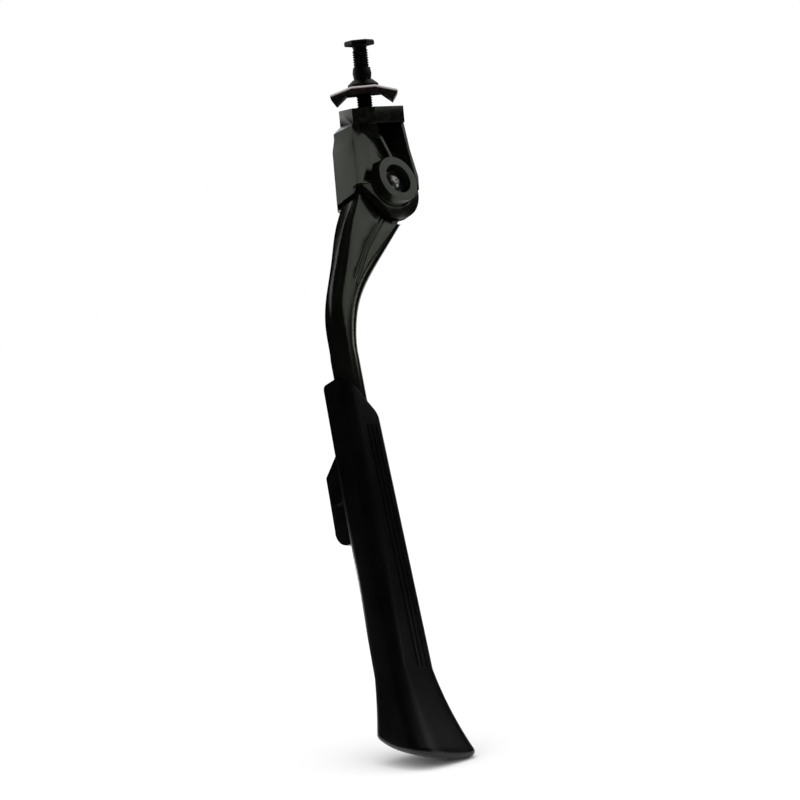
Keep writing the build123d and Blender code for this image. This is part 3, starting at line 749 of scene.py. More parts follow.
def dress_nodes(nodes: Iterable[str], slot: Slot, paints: Paintbox) -> None:
    """Gives CAD nodes that keep their own mesh a finish.

    Args:
        nodes: The nodes' names.
        slot: The slot of their finish.
        paints: The materials.
    """
    for node in nodes:
        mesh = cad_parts[node].data
        mesh.materials.clear()
        mesh.materials.append(paints.of(slot))
        LOG.info("%s wears %s", node, slot.value)


# Geometry Nodes trees

RIDGE_SIDES = 4
RIB_SIDES = 12


def set_inputs(modifier: bpy.types.NodesModifier, values: dict[str, object]) -> None:
    """Sets a Geometry Nodes modifier's inputs by their sockets' identifiers.

    Args:
        modifier: The modifier.
        values: The value of each input, by its name.
    """
    for item in modifier.node_group.interface.items_tree:
        if item.item_type == "SOCKET" and item.in_out == "INPUT" and item.name in values:
            modifier[item.identifier] = values[item.name]


def grow(name: str, tree: bpy.types.NodeTree, values: dict[str, object]) -> bpy.types.Mesh:
    """Runs a Geometry Nodes tree on an empty mesh and gives back the plain result.

    Args:
        name: A name for the mesh.
        tree: The tree.
        values: Its inputs by name.

    Returns:
        The mesh.
    """
    carrier = bpy.data.objects.new(name, bpy.data.meshes.new(name))
    bpy.context.scene.collection.objects.link(carrier)
    modifier = carrier.modifiers.new(name, "NODES")
    modifier.node_group = tree
    set_inputs(modifier, values)
    return plain_mesh(carrier)


def round_profile(tree: bpy.types.NodeTree, radius: bpy.types.NodeSocket, sides: int) -> bpy.types.NodeSocket:
    """Adds a regular profile for a sweep.

    Args:
        tree: The tree it joins.
        radius: The radius of its corners.
        sides: How many sides it has.

    Returns:
        The profile's curve.
    """
    circle = tree.nodes.new("GeometryNodeCurvePrimitiveCircle")
    circle.mode = "RADIUS"
    circle.inputs["Resolution"].default_value = sides
    tree.links.new(radius, circle.inputs["Radius"])
    return circle.outputs["Curve"]


def swept(
    tree: bpy.types.NodeTree, path: bpy.types.NodeSocket, profile: bpy.types.NodeSocket
) -> bpy.types.NodeSocket:
    """Sweeps a profile along a path and closes its ends.

    Args:
        tree: The tree.
        path: The path's curve.
        profile: The profile's curve.

    Returns:
        The swept mesh.
    """
    sweep = tree.nodes.new("GeometryNodeCurveToMesh")
    sweep.inputs["Fill Caps"].default_value = True
    tree.links.new(path, sweep.inputs["Curve"])
    tree.links.new(profile, sweep.inputs["Profile Curve"])
    return sweep.outputs["Mesh"]


def end_tree(tree: bpy.types.NodeTree, last: bpy.types.NodeSocket, entry: bpy.types.Node) -> None:
    """Ends a tree in Realize Instances and Set Material.

    Args:
        tree: The tree.
        last: The geometry that it has made.
        entry: Its input node, which has a Material socket.
    """
    leave = tree.nodes.new("NodeGroupOutput")
    realize = tree.nodes.new("GeometryNodeRealizeInstances")
    paint = tree.nodes.new("GeometryNodeSetMaterial")
    tree.links.new(last, realize.inputs["Geometry"])
    tree.links.new(realize.outputs["Geometry"], paint.inputs["Geometry"])
    tree.links.new(entry.outputs["Material"], paint.inputs["Material"])
    tree.links.new(paint.outputs["Geometry"], leave.inputs["Geometry"])


def build_thread_tree() -> bpy.types.NodeTree:
    """Builds the screw-thread tree: a ridge of diamond section swept along a helix about Z.

    Returns:
        The Geometry Nodes tree.
    """
    tree = bpy.data.node_groups.new("screw_thread", "GeometryNodeTree")
    tree.is_modifier = True
    add_output(tree, "Geometry", Socket.GEOMETRY)
    add_input(tree, "Crest Radius", Socket.FLOAT, 0.004)
    add_input(tree, "Depth", Socket.FLOAT, 0.0006)
    add_input(tree, "Pitch", Socket.FLOAT, 0.00125)
    add_input(tree, "Length", Socket.FLOAT, 0.03)
    add_input(tree, "Steps", Socket.INTEGER, 28)
    add_input(tree, "Material", Socket.MATERIAL)
    nodes, links = tree.nodes, tree.links
    entry = nodes.new("NodeGroupInput")
    turns = worked_out(tree, "DIVIDE", entry.outputs["Length"], entry.outputs["Pitch"])
    root = worked_out(tree, "SUBTRACT", entry.outputs["Crest Radius"], entry.outputs["Depth"])
    helix = nodes.new("GeometryNodeCurveSpiral")
    upright = nodes.new("GeometryNodeSetCurveNormal")
    upright.mode = "Z_UP"
    links.new(turns, helix.inputs["Rotations"])
    links.new(root, helix.inputs["Start Radius"])
    links.new(root, helix.inputs["End Radius"])
    links.new(entry.outputs["Length"], helix.inputs["Height"])
    links.new(entry.outputs["Steps"], helix.inputs["Resolution"])
    links.new(helix.outputs["Curve"], upright.inputs["Curve"])
    ridge = round_profile(tree, entry.outputs["Depth"], RIDGE_SIDES)
    end_tree(tree, swept(tree, upright.outputs["Curve"], ridge), entry)
    return tree


def build_grip_tree() -> bpy.types.NodeTree:
    """Builds the grip-rib tree: a row of round ribs across Z, repeated along X.

    Returns:
        The Geometry Nodes tree.
    """
    tree = bpy.data.node_groups.new("grip_ribs", "GeometryNodeTree")
    tree.is_modifier = True
    add_output(tree, "Geometry", Socket.GEOMETRY)
    add_input(tree, "Count", Socket.INTEGER, 5)
    add_input(tree, "Pitch", Socket.FLOAT, 0.0022)
    add_input(tree, "Half Width", Socket.FLOAT, 0.0045)
    add_input(tree, "Radius", Socket.FLOAT, 0.0006)
    add_input(tree, "Material", Socket.MATERIAL)
    nodes, links = tree.nodes, tree.links
    entry = nodes.new("NodeGroupInput")
    step = nodes.new("ShaderNodeCombineXYZ")
    near = nodes.new("ShaderNodeCombineXYZ")
    far = nodes.new("ShaderNodeCombineXYZ")
    row = nodes.new("GeometryNodeMeshLine")
    line = nodes.new("GeometryNodeCurvePrimitiveLine")
    copies = nodes.new("GeometryNodeInstanceOnPoints")
    back = worked_out(tree, "MULTIPLY", entry.outputs["Half Width"], -1.0)
    links.new(entry.outputs["Pitch"], step.inputs["X"])
    links.new(entry.outputs["Half Width"], far.inputs["Z"])
    links.new(back, near.inputs["Z"])
    links.new(near.outputs["Vector"], line.inputs["Start"])
    links.new(far.outputs["Vector"], line.inputs["End"])
    links.new(entry.outputs["Count"], row.inputs["Count"])
    links.new(step.outputs["Vector"], row.inputs["Offset"])
    bar = round_profile(tree, entry.outputs["Radius"], RIB_SIDES)
    links.new(row.outputs["Mesh"], copies.inputs["Points"])
    links.new(swept(tree, line.outputs["Curve"], bar), copies.inputs["Instance"])
    end_tree(tree, copies.outputs["Instances"], entry)
    return tree


# The stand's own frames


@dataclass(frozen=True)
class LegLine:
    """The leg's line in the part's frame, with the few sizes that place it.

    Attributes:
        pivot: The pivot's centre, in mm.
        tilt: The pivot axis's tilt above the horizon, in degrees.
        upper_lean: The upper arm's lean to the front, in degrees.
        lower_lean: The lower bar's lean to the front, in degrees.
        upper_run: From the pivot to the knee's corner, in mm.
    """

    pivot: Point = (3.8, 0.0, -42.4)
    tilt: float = 21.2
    upper_lean: float = 42.9
    lower_lean: float = 12.9
    upper_run: float = 86.5

    def axis(self) -> Vector:
        """Gives the pivot's axis, pointing outboard."""
        return Vector((math.cos(math.radians(self.tilt)), 0.0, math.sin(math.radians(self.tilt))))

    def down(self, lean: float) -> Vector:
        """Gives the direction down a run of the leg.

        Args:
            lean: The run's lean to the front, in degrees.

        Returns:
            A unit vector.
        """
        up = Vector((-math.sin(math.radians(self.tilt)), 0.0, math.cos(math.radians(self.tilt))))
        return Vector((0.0, -1.0, 0.0)) * math.sin(math.radians(lean)) - up * math.cos(math.radians(lean))

    def bar_frame(self) -> Matrix:
        """Gives the bar's frame, with its origin at the knee's corner.

        Returns:
            The frame in metres: X down the bar, Y inboard, Z to the rear.
        """
        origin = (Vector(self.pivot) + self.down(self.upper_lean) * self.upper_run) * MM
        x_dir = self.down(self.lower_lean)
        y_dir = -self.axis()
        z_dir = x_dir.cross(y_dir)
        turn = Matrix((x_dir, y_dir, z_dir)).transposed().to_4x4()
        return Matrix.Translation(origin) @ turn


LEG_LINE = LegLine()


# Sub-assemblies


@dataclass
class ClampHead:
    """The cast head with its pivot pin, washer and clip.

    Attributes:
        cast_ease: The easing of the casting's edges.
        turned_ease: The easing of the turned and stamped parts' edges.
    """

    cast_ease: EdgeBreak = EdgeBreak(width=0.45, segments=2, shortest=0.6)
    turned_ease: EdgeBreak = EdgeBreak(width=0.12, segments=2)

    def build(self, paints: Paintbox) -> None:
        """Builds and dresses the head's pieces.

        Args:
            paints: The materials.
        """
        dress_copy("head_casting", "mounting_head", Body.HEAD, Slot.PAINT, paints, self.cast_ease)
        dress_copy("pin_washer_stamped", "pin_washer", Body.HEAD, Slot.OXIDE, paints, self.turned_ease)
        dress_copy("clip_stamped", "retaining_clip", Body.HEAD, Slot.SPRING, paints, self.turned_ease)
        dress_nodes(("pivot_pin",), Slot.BRIGHT, paints)


@dataclass
class ClampBolt:
    """The clamp bolt: core, rolled thread and hexagon head with its key socket.

    Attributes:
        bottom: The level of its lower end, in mm.
        point_inset: How far its point is drawn in, in mm.
        point_height: The height of its point, in mm.
        thread_top: Where the thread ends, in mm.
        crest: The thread's outer radius, in mm.
        depth: The thread's depth, in mm.
        pitch: The thread's pitch, in mm.
        root_share: The share of the thread's depth at which the core's surface lies.
        thread_steps: The thread's steps in each turn.
        wear_band: How far in from the crest the thread is worn, in mm.
        wear_mark: How much the crest is worn, from 0 to 1.
        neck: The plain neck's radius under the head, in mm.
        neck_rise: The height over which the core widens to the neck, in mm.
        fillet_height: The height of the neck's chamfer under the head, in mm.
        fillet_width: The width of that chamfer, in mm.
        core_sides: The core's steps round the axis.
        core_sink: How far the core reaches into the head, in mm.
        head_bottom: The level of the head's underside, in mm.
        head_height: The head's height, in mm.
        flats: The head's size across flats, in mm.
        turn: The head's turn about the bolt, in degrees.
        chamfer_across: What the chamfers under the head and of its socket take off the size across, in mm.
        chamfer_height: The height of those chamfers, in mm.
        crown: The size across of the flat on top, in mm.
        crown_across: What the rounding of the crown adds to the size across, in mm.
        crown_drop: The height of that rounding, in mm.
        rim_drop: From the top down to the flats, in mm.
        socket_flats: The key socket's size across flats, in mm.
        socket_depth: The key socket's depth, in mm.
        shade_reach: How far round a corner the faces count in its shading, in mm.
    """

    bottom: float = -13.0
    point_inset: float = 0.7
    point_height: float = 0.8
    thread_top: float = 30.0
    crest: float = 4.0
    depth: float = 0.6
    pitch: float = 1.25
    root_share: float = 0.98
    thread_steps: int = 28
    wear_band: float = 0.2
    wear_mark: float = 0.8
    neck: float = 3.7
    neck_rise: float = 0.6
    fillet_height: float = 0.3
    fillet_width: float = 0.4
    core_sides: int = 48
    core_sink: float = 0.2
    head_bottom: float = 31.3
    head_height: float = 2.7
    flats: float = 13.0
    turn: float = 45.0
    chamfer_across: float = 0.5
    chamfer_height: float = 0.25
    crown: float = 11.3
    crown_across: float = 0.6
    crown_drop: float = 0.05
    rim_drop: float = 0.65
    socket_flats: float = 5.0
    socket_depth: float = 2.0
    shade_reach: float = 0.3

    def core(self) -> bmesh.types.BMesh:
        """Turns the bolt's core, from its chamfered point to its neck.

        Returns:
            A closed surface of revolution, in metres.
        """
        root = self.crest - self.depth * self.root_share
        outline = [
            (0.0, self.bottom),
            (root - self.point_inset, self.bottom),
            (root, self.bottom + self.point_height),
            (root, self.thread_top),
            (self.neck, self.thread_top + self.neck_rise),
            (self.neck, self.head_bottom - self.fillet_height),
            (self.neck + self.fillet_width, self.head_bottom),
            (0.0, self.head_bottom + self.core_sink),
        ]
        work = bmesh.new()
        verts = [work.verts.new((r * MM, 0.0, z * MM)) for r, z in outline]
        edges = [work.edges.new(pair) for pair in zip(verts, verts[1:])]
        bmesh.ops.spin(
            work, geom=verts + edges, cent=(0, 0, 0), axis=(0, 0, 1), angle=2 * math.pi, steps=self.core_sides
        )
        bmesh.ops.remove_doubles(work, verts=work.verts, dist=MERGE * MM)
        bmesh.ops.recalc_face_normals(work, faces=work.faces)
        return work

    def hexagon(self, across: float, level: float) -> list[Vector]:
        """Gives a hexagon's corners.

        Args:
            across: Its size across flats, in mm.
            level: Its level, in mm.

        Returns:
            Six points, in metres.
        """
        reach = across / 2 / math.cos(math.pi / 6)
        angles = [math.radians(self.turn + 60 * i) for i in range(6)]
        return [Vector((reach * math.cos(a), reach * math.sin(a), level)) * MM for a in angles]

    def head(self) -> bpy.types.Mesh:
        """Forges the head: hexagon, eased rim, flat crown and hexagon socket.

        Returns:
            A closed shell, in metres.
        """
        top = self.head_bottom + self.head_height
        rings = [
            self.hexagon(self.flats - self.chamfer_across, self.head_bottom),
            self.hexagon(self.flats, self.head_bottom + self.chamfer_height),
            self.hexagon(self.flats, top - self.rim_drop),
            self.hexagon(self.crown + self.crown_across, top - self.crown_drop),
            self.hexagon(self.crown, top),
            self.hexagon(self.socket_flats + self.chamfer_across, top),
            self.hexagon(self.socket_flats, top - self.chamfer_height),
            self.hexagon(self.socket_flats, top - self.socket_depth),
        ]
        work = bmesh.new()
        loops = [[work.verts.new(p) for p in ring] for ring in rings]
        for low, high in zip(loops, loops[1:]):
            for i in range(6):
                work.faces.new((low[i], low[(i + 1) % 6], high[(i + 1) % 6], high[i]))
        work.faces.new(tuple(reversed(loops[0])))
        work.faces.new(tuple(loops[-1]))
        bmesh.ops.recalc_face_normals(work, faces=work.faces)
        mesh = bpy.data.meshes.new("bolt_head")
        work.to_mesh(mesh)
        work.free()
        return mesh

    def thread(self, material: bpy.types.Material) -> bpy.types.Mesh:
        """Rolls the thread, from the bolt's point to its neck.

        Args:
            material: The bolt's material.

        Returns:
            The thread's ridge, in metres.
        """
        mesh = grow("bolt_thread", build_thread_tree(), {
            "Crest Radius": self.crest * MM,
            "Depth": self.depth * MM,
            "Pitch": self.pitch * MM,
            "Length": (self.thread_top - self.bottom - 2 * self.point_height) * MM,
            "Steps": self.thread_steps,
            "Material": material,
        })
        mesh.transform(Matrix.Translation((0.0, 0.0, (self.bottom + self.point_height) * MM)))
        return mesh

    def build(self, paints: Paintbox) -> None:
        """Builds the bolt as one piece and lets it stand for the CAD bolt.

        Args:
            paints: The materials.
        """
        thread, head = self.thread(paints.of(Slot.OXIDE)), self.head()
        work = self.core()
        mark = work.verts.layers.float.new(EDGE_MARK)
        start = len(work.verts)
        work.from_mesh(thread)
        work.verts.ensure_lookup_table()
        for vert in work.verts[start:]:
            if math.hypot(vert.co.x, vert.co.y) > (self.crest - self.wear_band) * MM:
                vert[mark] = self.wear_mark
        work.from_mesh(head)
        for spare in (thread, head):
            bpy.data.meshes.remove(spare)
        mesh = bpy.data.meshes.new("clamp_bolt_threaded")
        work.to_mesh(mesh)
        work.free()
        shaded = even_normals(mesh, self.shade_reach)
        piece = piece_from_mesh("clamp_bolt_threaded", shaded, paints.of(Slot.OXIDE))
        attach(piece, Body.HEAD.value)
        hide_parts("clamp_bolt")
        LOG.info("%s stands for clamp_bolt, %d faces", piece.name, len(piece.data.polygons))


@dataclass
class ClampStack:
    """What rides on the bolt: clamp plate, dished washer and keeper ring.

    Attributes:
        plate_ease: The easing of the pressed plate's edges.
        washer_ease: The easing of the washer's and the ring's edges.
    """

    plate_ease: EdgeBreak = EdgeBreak(width=1.8, segments=5, angle=40.0, shortest=1.5, upward=0.4)
    washer_ease: EdgeBreak = EdgeBreak(width=0.25, segments=2)

    def build(self, paints: Paintbox) -> None:
        """Builds and dresses the stack's pieces.

        Args:
            paints: The materials.
        """
        dress_copy("plate_pressed", "clamp_plate", Body.PLATE, Slot.PLATE, paints, self.plate_ease)
        dress_copy("washer_dished", "dished_washer", Body.STACK, Slot.OXIDE, paints, self.washer_ease)
        dress_copy("keeper_moulded", "keeper_ring", Body.STACK, Slot.NYLON, paints, self.washer_ease)


@dataclass
class ForgedLeg:
    """The leg with its bearing and the detent in its tongue.

    Attributes:
        forge_ease: The easing of the forging's edges.
    """

    forge_ease: EdgeBreak = EdgeBreak(width=0.35, segments=2, angle=38.0)

    def build(self, paints: Paintbox) -> None:
        """Builds and dresses the leg's pieces.

        Args:
            paints: The materials.
        """
        dress_copy("leg_forged", "leg", Body.LEG, Slot.PAINT, paints, self.forge_ease)
        dress_nodes(("pivot_bushing", "thrust_washer_outer", "thrust_washer_inner"), Slot.BRONZE, paints)
        dress_nodes(("detent_ball_outer", "detent_ball_inner"), Slot.BRIGHT, paints)
        dress_nodes(("detent_spring",), Slot.SPRING, paints)


@dataclass
class FootAndLatch:
    """The foot sleeve with its release lever, tooth, pin and spring.

    Attributes:
        sleeve_ease: The easing of the moulding's edges.
        lever_ease: The easing of the lever's edges.
        grip_count: How many thumb ribs the lever has.
        grip_pitch: Their pitch, in mm.
        grip_radius: Their radius, in mm.
        grip_half: Half their length across the lever, in mm.
        grip_start: Where the first one sits along the bar, in mm.
        grip_level: Their level above the bar's line, in mm.
        coil_keep: The share of its length that the spring would keep when the lever is pressed home; not
            used.
        shade_reach: How far round a corner the faces of ribs and spring count in their shading, in mm.
    """

    sleeve_ease: EdgeBreak = EdgeBreak(width=0.4, segments=2, angle=34.0, shortest=1.5, inner=False)
    lever_ease: EdgeBreak = EdgeBreak(width=0.9, segments=3, angle=40.0, shortest=1.5)
    grip_count: int = 5
    grip_pitch: float = 2.4
    grip_radius: float = 0.7
    grip_half: float = 4.6
    grip_start: float = 93.0
    grip_level: float = 21.65
    coil_keep: float = 0.62
    shade_reach: float = 0.2

    def thumb_ribs(self, paints: Paintbox) -> None:
        """Makes the lever's thumb ribs as one piece.

        Args:
            paints: The materials.
        """
        mesh = grow("thumb_ribs", build_grip_tree(), {
            "Count": self.grip_count,
            "Pitch": self.grip_pitch * MM,
            "Half Width": self.grip_half * MM,
            "Radius": self.grip_radius * MM,
            "Material": paints.of(Slot.LEVER),
        })
        place = Matrix.Translation(Vector((self.grip_start, self.grip_level, 0.0)) * MM)
        mesh.transform(LEG_LINE.bar_frame() @ place)
        shaded = even_normals(mesh, self.shade_reach)
        ribs = piece_from_mesh("lever_thumb_ribs", shaded, paints.of(Slot.LEVER))
        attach(ribs, Body.LEVER.value)
        LOG.info("%s added, %d faces", ribs.name, len(ribs.data.polygons))

    def coil(self, paints: Paintbox) -> None:
        """Makes the lever's spring as a copy that stands for the CAD spring and rides on the foot.

        Args:
            paints: The materials.
        """
        source = merged_solid("lever_spring")
        mesh = bpy.data.meshes.new("lever_coil")
        source.to_mesh(mesh)
        source.free()
        shaded = even_normals(mesh, self.shade_reach)
        coil = piece_from_mesh("lever_coil", shaded, paints.of(Slot.SPRING))
        rise = (LEG_LINE.bar_frame().to_3x3() @ Vector((0.0, 1.0, 0.0))).normalized()
        seat = min((v.co for v in mesh.vertices), key=rise.dot).copy()
        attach(coil, Body.FOOT.value)
        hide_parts("lever_spring")
        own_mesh(coil)
        LOG.info("%s stands for lever_spring, %d faces", coil.name, len(coil.data.polygons))

    def build(self, paints: Paintbox) -> None:
        """Builds and dresses the foot's and the latch's pieces.

        Args:
            paints: The materials.
        """
        dress_copy("foot_moulded", "foot_sleeve", Body.FOOT, Slot.FOOT, paints, self.sleeve_ease)
        dress_copy("lever_moulded", "release_lever", Body.LEVER, Slot.LEVER, paints, self.lever_ease)
        self.thumb_ribs(paints)
        dress_nodes(("lever_tooth", "lever_pin"), Slot.BRIGHT, paints)
        self.coil(paints)


# Studio and camera

# The lower edges of screens, in metres: just over the floor, or above the foot.
SCREEN_FOOT = CAD_BOX[0][2] + 0.002
RAISED_FOOT = -0.13


@dataclass(frozen=True)
class Screen:
    """A screen that bends round the stand and shows only in its reflections.

    Attributes:
        name: The screen's name.
        reach: Its distance from the stand's middle, in metres.
        edge: Its upper edge, as pairs of view azimuth in degrees and level in metres.
        tone: Its paleness.
        foot: The level of its lower edge, in metres.
    """

    name: str
    reach: float
    edge: tuple[tuple[float, float], ...]
    tone: float = 0.0
    foot: float = SCREEN_FOOT


SCREENS: tuple[Screen, ...] = (
    Screen("camera_screen", 0.28, (
        (-150.0, 0.04), (-122.0, 0.04), (-108.0, -0.03), (-100.0, -0.07), (-62.0, -0.06), (-50.0, 0.14),
        (-30.0, 0.40), (0.0, 0.40), (45.0, 0.40), (88.0, 0.40),
    )),
    Screen("right_screen", 0.28, (
        (88.0, 0.40), (104.0, 0.30), (118.0, 0.08), (128.0, 0.035),
    ), foot=RAISED_FOOT),
    Screen("back_screen", 0.42, (
        (122.0, 0.06), (146.0, 0.06), (170.0, 0.06), (195.0, 0.06),
    )),
    Screen("left_screen", 0.12, (
        (-125.0, 0.003), (-104.0, 0.003), (-93.0, 0.0), (-86.0, -0.034), (-50.0, -0.04),
    )),
    Screen("rear_screen", 0.15, (
        (116.0, -0.012), (135.0, -0.012), (155.0, -0.012), (176.0, -0.012),
    ), foot=RAISED_FOOT),
    Screen("grey_card", 0.9, (
        (96.0, 1.6), (120.0, 1.6), (145.0, 1.6), (170.0, 1.6), (195.0, 1.6),
    ), tone=0.9),
)


@dataclass(frozen=True)
class Lamp:
    """A soft square lamp that the camera doesn't see.

    Attributes:
        name: The lamp's name.
        place: Its place, in metres.
        aim: The point it shines at, in metres.
        side: Its side, in metres.
        watts: Its power.
    """

    name: str
    place: Point
    aim: Point
    side: float
    watts: float

    def hang(self) -> None:
        """Hangs the lamp in the scene."""
        data = bpy.data.lights.new(self.name, "AREA")
        data.shape = "SQUARE"
        data.size = self.side
        data.energy = self.watts
        lamp = bpy.data.objects.new(self.name, data)
        lamp.location = self.place
        lamp.rotation_euler = (Vector(self.place) - Vector(self.aim)).to_track_quat("Z", "Y").to_euler()
        lamp.visible_camera = False
        bpy.context.scene.collection.objects.link(lamp)


LAMPS: tuple[Lamp, ...] = (
    Lamp("top_softbox", place=(-0.25, 0.25, 1.5), aim=(0.05, -0.05, -0.2), side=1.0, watts=4.0),
    Lamp("low_kicker", place=(-0.05, -0.06, -0.24), aim=(0.015, -0.012, -0.05), side=0.08, watts=0.12),
    Lamp("pin_kicker", place=(0.108, 0.092, -0.05), aim=(0.02, 0.0, -0.036), side=0.02, watts=0.01),
)


@dataclass
class Studio:
    """Floor, white surround, soft lamps and screens round the stand.

    Attributes:
        floor_half: Half the floor's side, in metres.
        floor_gap: How far the floor lies under the stand, in metres.
        floor_tone: The floor's paleness.
        ambient: The surround's level for diffuse light.
        middle: The screens' centre, in metres.
        lid_level: The level of the dark lid over the camera's side, in metres.
        lid_back: How far the lid reaches past the middle, in metres.
        lid_half: Half the lid's width, in metres.
        lid_azimuth: The view azimuth that the lid reaches out to, in degrees.
        fan_level: The level of the dark fan over the arm's front, in metres.
        fan_reach: The fan's radius, in metres.
        fan_span: The view azimuths where the fan begins and ends, in degrees.
        fan_steps: The fan's steps from one end to the other.
    """

    floor_half: float = 9.0
    floor_gap: float = 0.0004
    floor_tone: float = 0.99
    ambient: float = 1.01
    middle: tuple[float, float] = (0.03, -0.05)
    lid_level: float = 0.40
    lid_back: float = 0.12
    lid_half: float = 0.30
    lid_azimuth: float = 45.0
    fan_level: float = 0.15
    fan_reach: float = 0.30
    fan_span: tuple[float, float] = (-96.0, -16.0)
    fan_steps: int = 8

    def surround(self) -> None:
        """Makes the surround: white to the camera and in reflections, at its own level for diffuse light."""
        world = bpy.data.worlds.new("white_surround")
        bpy.context.scene.world = world
        world.use_nodes = True
        world.cycles.sampling_method = "NONE"
        tree = world.node_tree
        tree.nodes.clear()
        path = tree.nodes.new("ShaderNodeLightPath")
        seen = worked_out(tree, "MAXIMUM", path.outputs["Is Camera Ray"], path.outputs["Is Glossy Ray"])
        shown = worked_out(tree, "MAXIMUM", seen, path.outputs["Is Transmission Ray"])
        mix = tree.nodes.new("ShaderNodeMixShader")
        out = tree.nodes.new("ShaderNodeOutputWorld")
        tree.links.new(shown, mix.inputs["Fac"])
        diffuse, plain_white = mix.inputs[1], mix.inputs[2]
        for entry, strength in ((diffuse, self.ambient), (plain_white, 1.0)):
            light = tree.nodes.new("ShaderNodeBackground")
            light.inputs["Color"].default_value = (1.0, 1.0, 1.0, 1.0)
            light.inputs["Strength"].default_value = strength
            tree.links.new(light.outputs["Background"], entry)
        tree.links.new(mix.outputs["Shader"], out.inputs["Surface"])

    def plain_finish(self, name: str, tone: float) -> bpy.types.Material:
        """Makes a matt studio surface.

        Args:
            name: The surface's name.
            tone: Its paleness.

        Returns:
            The material.
        """
        made = bpy.data.materials.new(name + "_finish")
        made.use_nodes = True
        shader = made.node_tree.nodes["Principled BSDF"]
        shader.inputs["Base Color"].default_value = (tone, tone, tone, 1.0)
        shader.inputs["Roughness"].default_value = 1.0
        shader.inputs["Specular IOR Level"].default_value = 0.0
        return made

    def floor(self) -> None:
        """Lays the pale floor just under the stand; it keeps the shadow."""
        low = CAD_BOX[0][2] - self.floor_gap
        half = self.floor_half
        mesh = bpy.data.meshes.new("pale_floor")
        corners = [(-half, -half, low), (half, -half, low), (half, half, low), (-half, half, low)]
        mesh.from_pydata(corners, [], [(0, 1, 2, 3)])
        piece_from_mesh("pale_floor", mesh, self.plain_finish("pale_floor", self.floor_tone))

    def card(self, name: str, points: list[Vector], faces: list[tuple[int, ...]], tone: float = 0.0) -> None:
        """Adds a card that only reflections see.

        Args:
            name: The card's name.
            points: Its corners, in metres.
            faces: Its faces, as runs of corner numbers.
            tone: Its paleness.
        """
        mesh = bpy.data.meshes.new(name)
        mesh.from_pydata([tuple(p) for p in points], [], faces)
        card = piece_from_mesh(name, mesh, self.plain_finish(name, tone))
        card.visible_camera = False
        card.visible_diffuse = False
        card.visible_transmission = False
        card.visible_shadow = False

    def point_at(self, azimuth: float, reach: float, level: float) -> Vector:
        """Gives a point round the stand's middle.

        Args:
            azimuth: Its view azimuth, in degrees.
            reach: Its distance from the middle, in metres.
            level: Its level, in metres.

        Returns:
            The point, in metres.
        """
        a = math.radians(azimuth)
        return Vector((self.middle[0] + math.sin(a) * reach, self.middle[1] - math.cos(a) * reach, level))

    def screen(self, screen: Screen) -> None:
        """Bends one screen round the stand.

        Args:
            screen: The screen.
        """
        points = [
            self.point_at(azimuth, screen.reach, level)
            for azimuth, top in screen.edge
            for level in (screen.foot, top)
        ]
        faces = [(2 * i, 2 * i + 2, 2 * i + 3, 2 * i + 1) for i in range(len(screen.edge) - 1)]
        self.card(screen.name, points, faces, screen.tone)

    def lid(self) -> None:
        """Lays the lid over the camera's side."""
        centre = Vector((*self.middle, self.lid_level))
        toward = self.point_at(self.lid_azimuth, 1.0, self.lid_level) - centre
        across = Vector((-toward.y, toward.x, 0.0))
        corners = [
            centre + toward * reach + across * side
            for reach, side in (
                (-self.lid_back, -self.lid_half), (self.lid_half, -self.lid_half),
                (self.lid_half, self.lid_half), (-self.lid_back, self.lid_half),
            )
        ]
        self.card("lid_card", corners, [(0, 1, 2, 3)])

    def fan(self) -> None:
        """Spreads the fan over the arm's front."""
        first, last = self.fan_span
        rim = [first + (last - first) * i / self.fan_steps for i in range(self.fan_steps + 1)]
        points = [Vector((*self.middle, self.fan_level))]
        points += [self.point_at(azimuth, self.fan_reach, self.fan_level) for azimuth in rim]
        self.card("fan_card", points, [(0, i + 1, i + 2) for i in range(self.fan_steps)])

    def build(self) -> None:
        """Sets up the whole studio."""
        bpy.context.scene.view_settings.view_transform = "Standard"
        self.surround()
        self.floor()
        for screen in SCREENS:
            self.screen(screen)
        self.lid()
        self.fan()
        for lamp in LAMPS:
            lamp.hang()
        LOG.info("studio ready")


@dataclass
class PhotoCamera:
    """The camera at the photograph's viewing angle.

    Attributes:
        eye: Its place, in mm.
        azimuth: Its view azimuth, in degrees.
        elevation: Its elevation, in degrees.
        roll: Its roll, in degrees.
        lens: Its focal length, in mm.
        sensor: Its sensor's width, in mm.
        clip: The nearest and farthest distance it sees, in metres.
    """

    eye: Point = (925.924, -920.894, -78.498)
    azimuth: float = 45.0
    elevation: float = 3.0
    roll: float = 5.4
    lens: float = 117.0
    sensor: float = 36.0
    clip: tuple[float, float] = (0.01, 50.0)

    def build(self) -> None:
        """Places the camera and makes it the scene's own."""
        a, e, r = (math.radians(v) for v in (self.azimuth, self.elevation, self.roll))
        back = Vector((math.sin(a) * math.cos(e), -math.cos(a) * math.cos(e), math.sin(e)))
        level = Vector((math.cos(a), math.sin(a), 0.0))
        upright = back.cross(level)
        right = level * math.cos(r) - upright * math.sin(r)
        up = level * math.sin(r) + upright * math.cos(r)
        turn = Matrix((right, up, back)).transposed().to_4x4()
        data = bpy.data.cameras.new("photo_camera")
        data.sensor_width = self.sensor
        data.sensor_fit = "HORIZONTAL"
        data.lens = self.lens
        data.clip_start, data.clip_end = self.clip
        camera = bpy.data.objects.new("photo_camera", data)
        camera.matrix_world = Matrix.Translation(Vector(self.eye) * MM) @ turn
        bpy.context.scene.collection.objects.link(camera)
        bpy.context.scene.camera = camera
        LOG.info("camera ready")


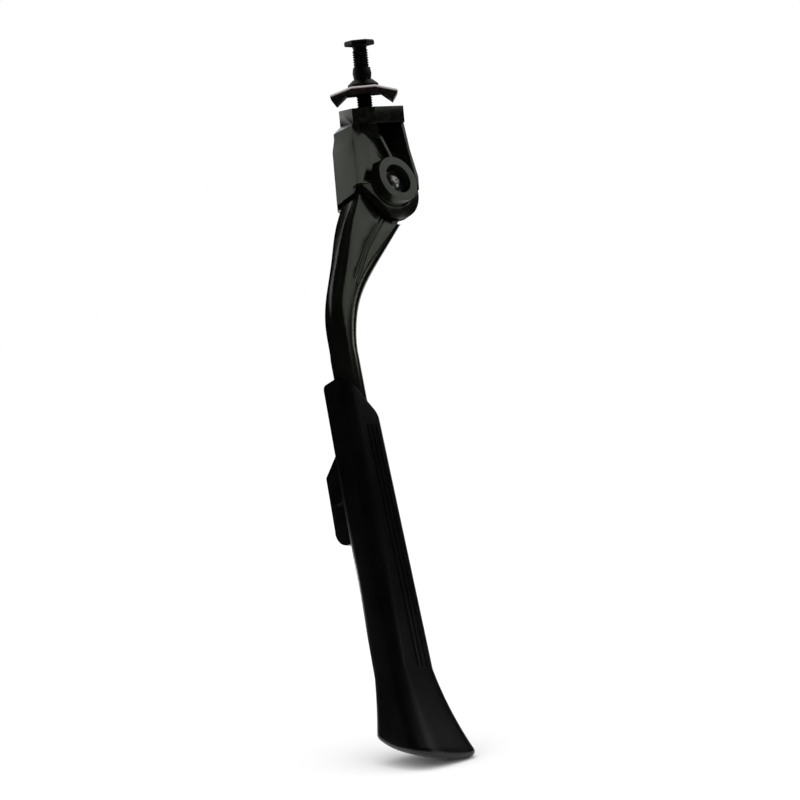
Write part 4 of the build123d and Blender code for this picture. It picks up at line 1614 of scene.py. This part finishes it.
def main() -> None:
    """Builds every piece in order, then the studio and the camera."""
    logging.basicConfig(level=logging.INFO, format="%(name)s: %(message)s")
    paints = Paintbox()
    for assembly in (ClampHead(), ClampBolt(), ClampStack(), ForgedLeg(), FootAndLatch()):
        assembly.build(paints)
    Studio().build()
    PhotoCamera().build()


if __name__ == "__main__":
    main()
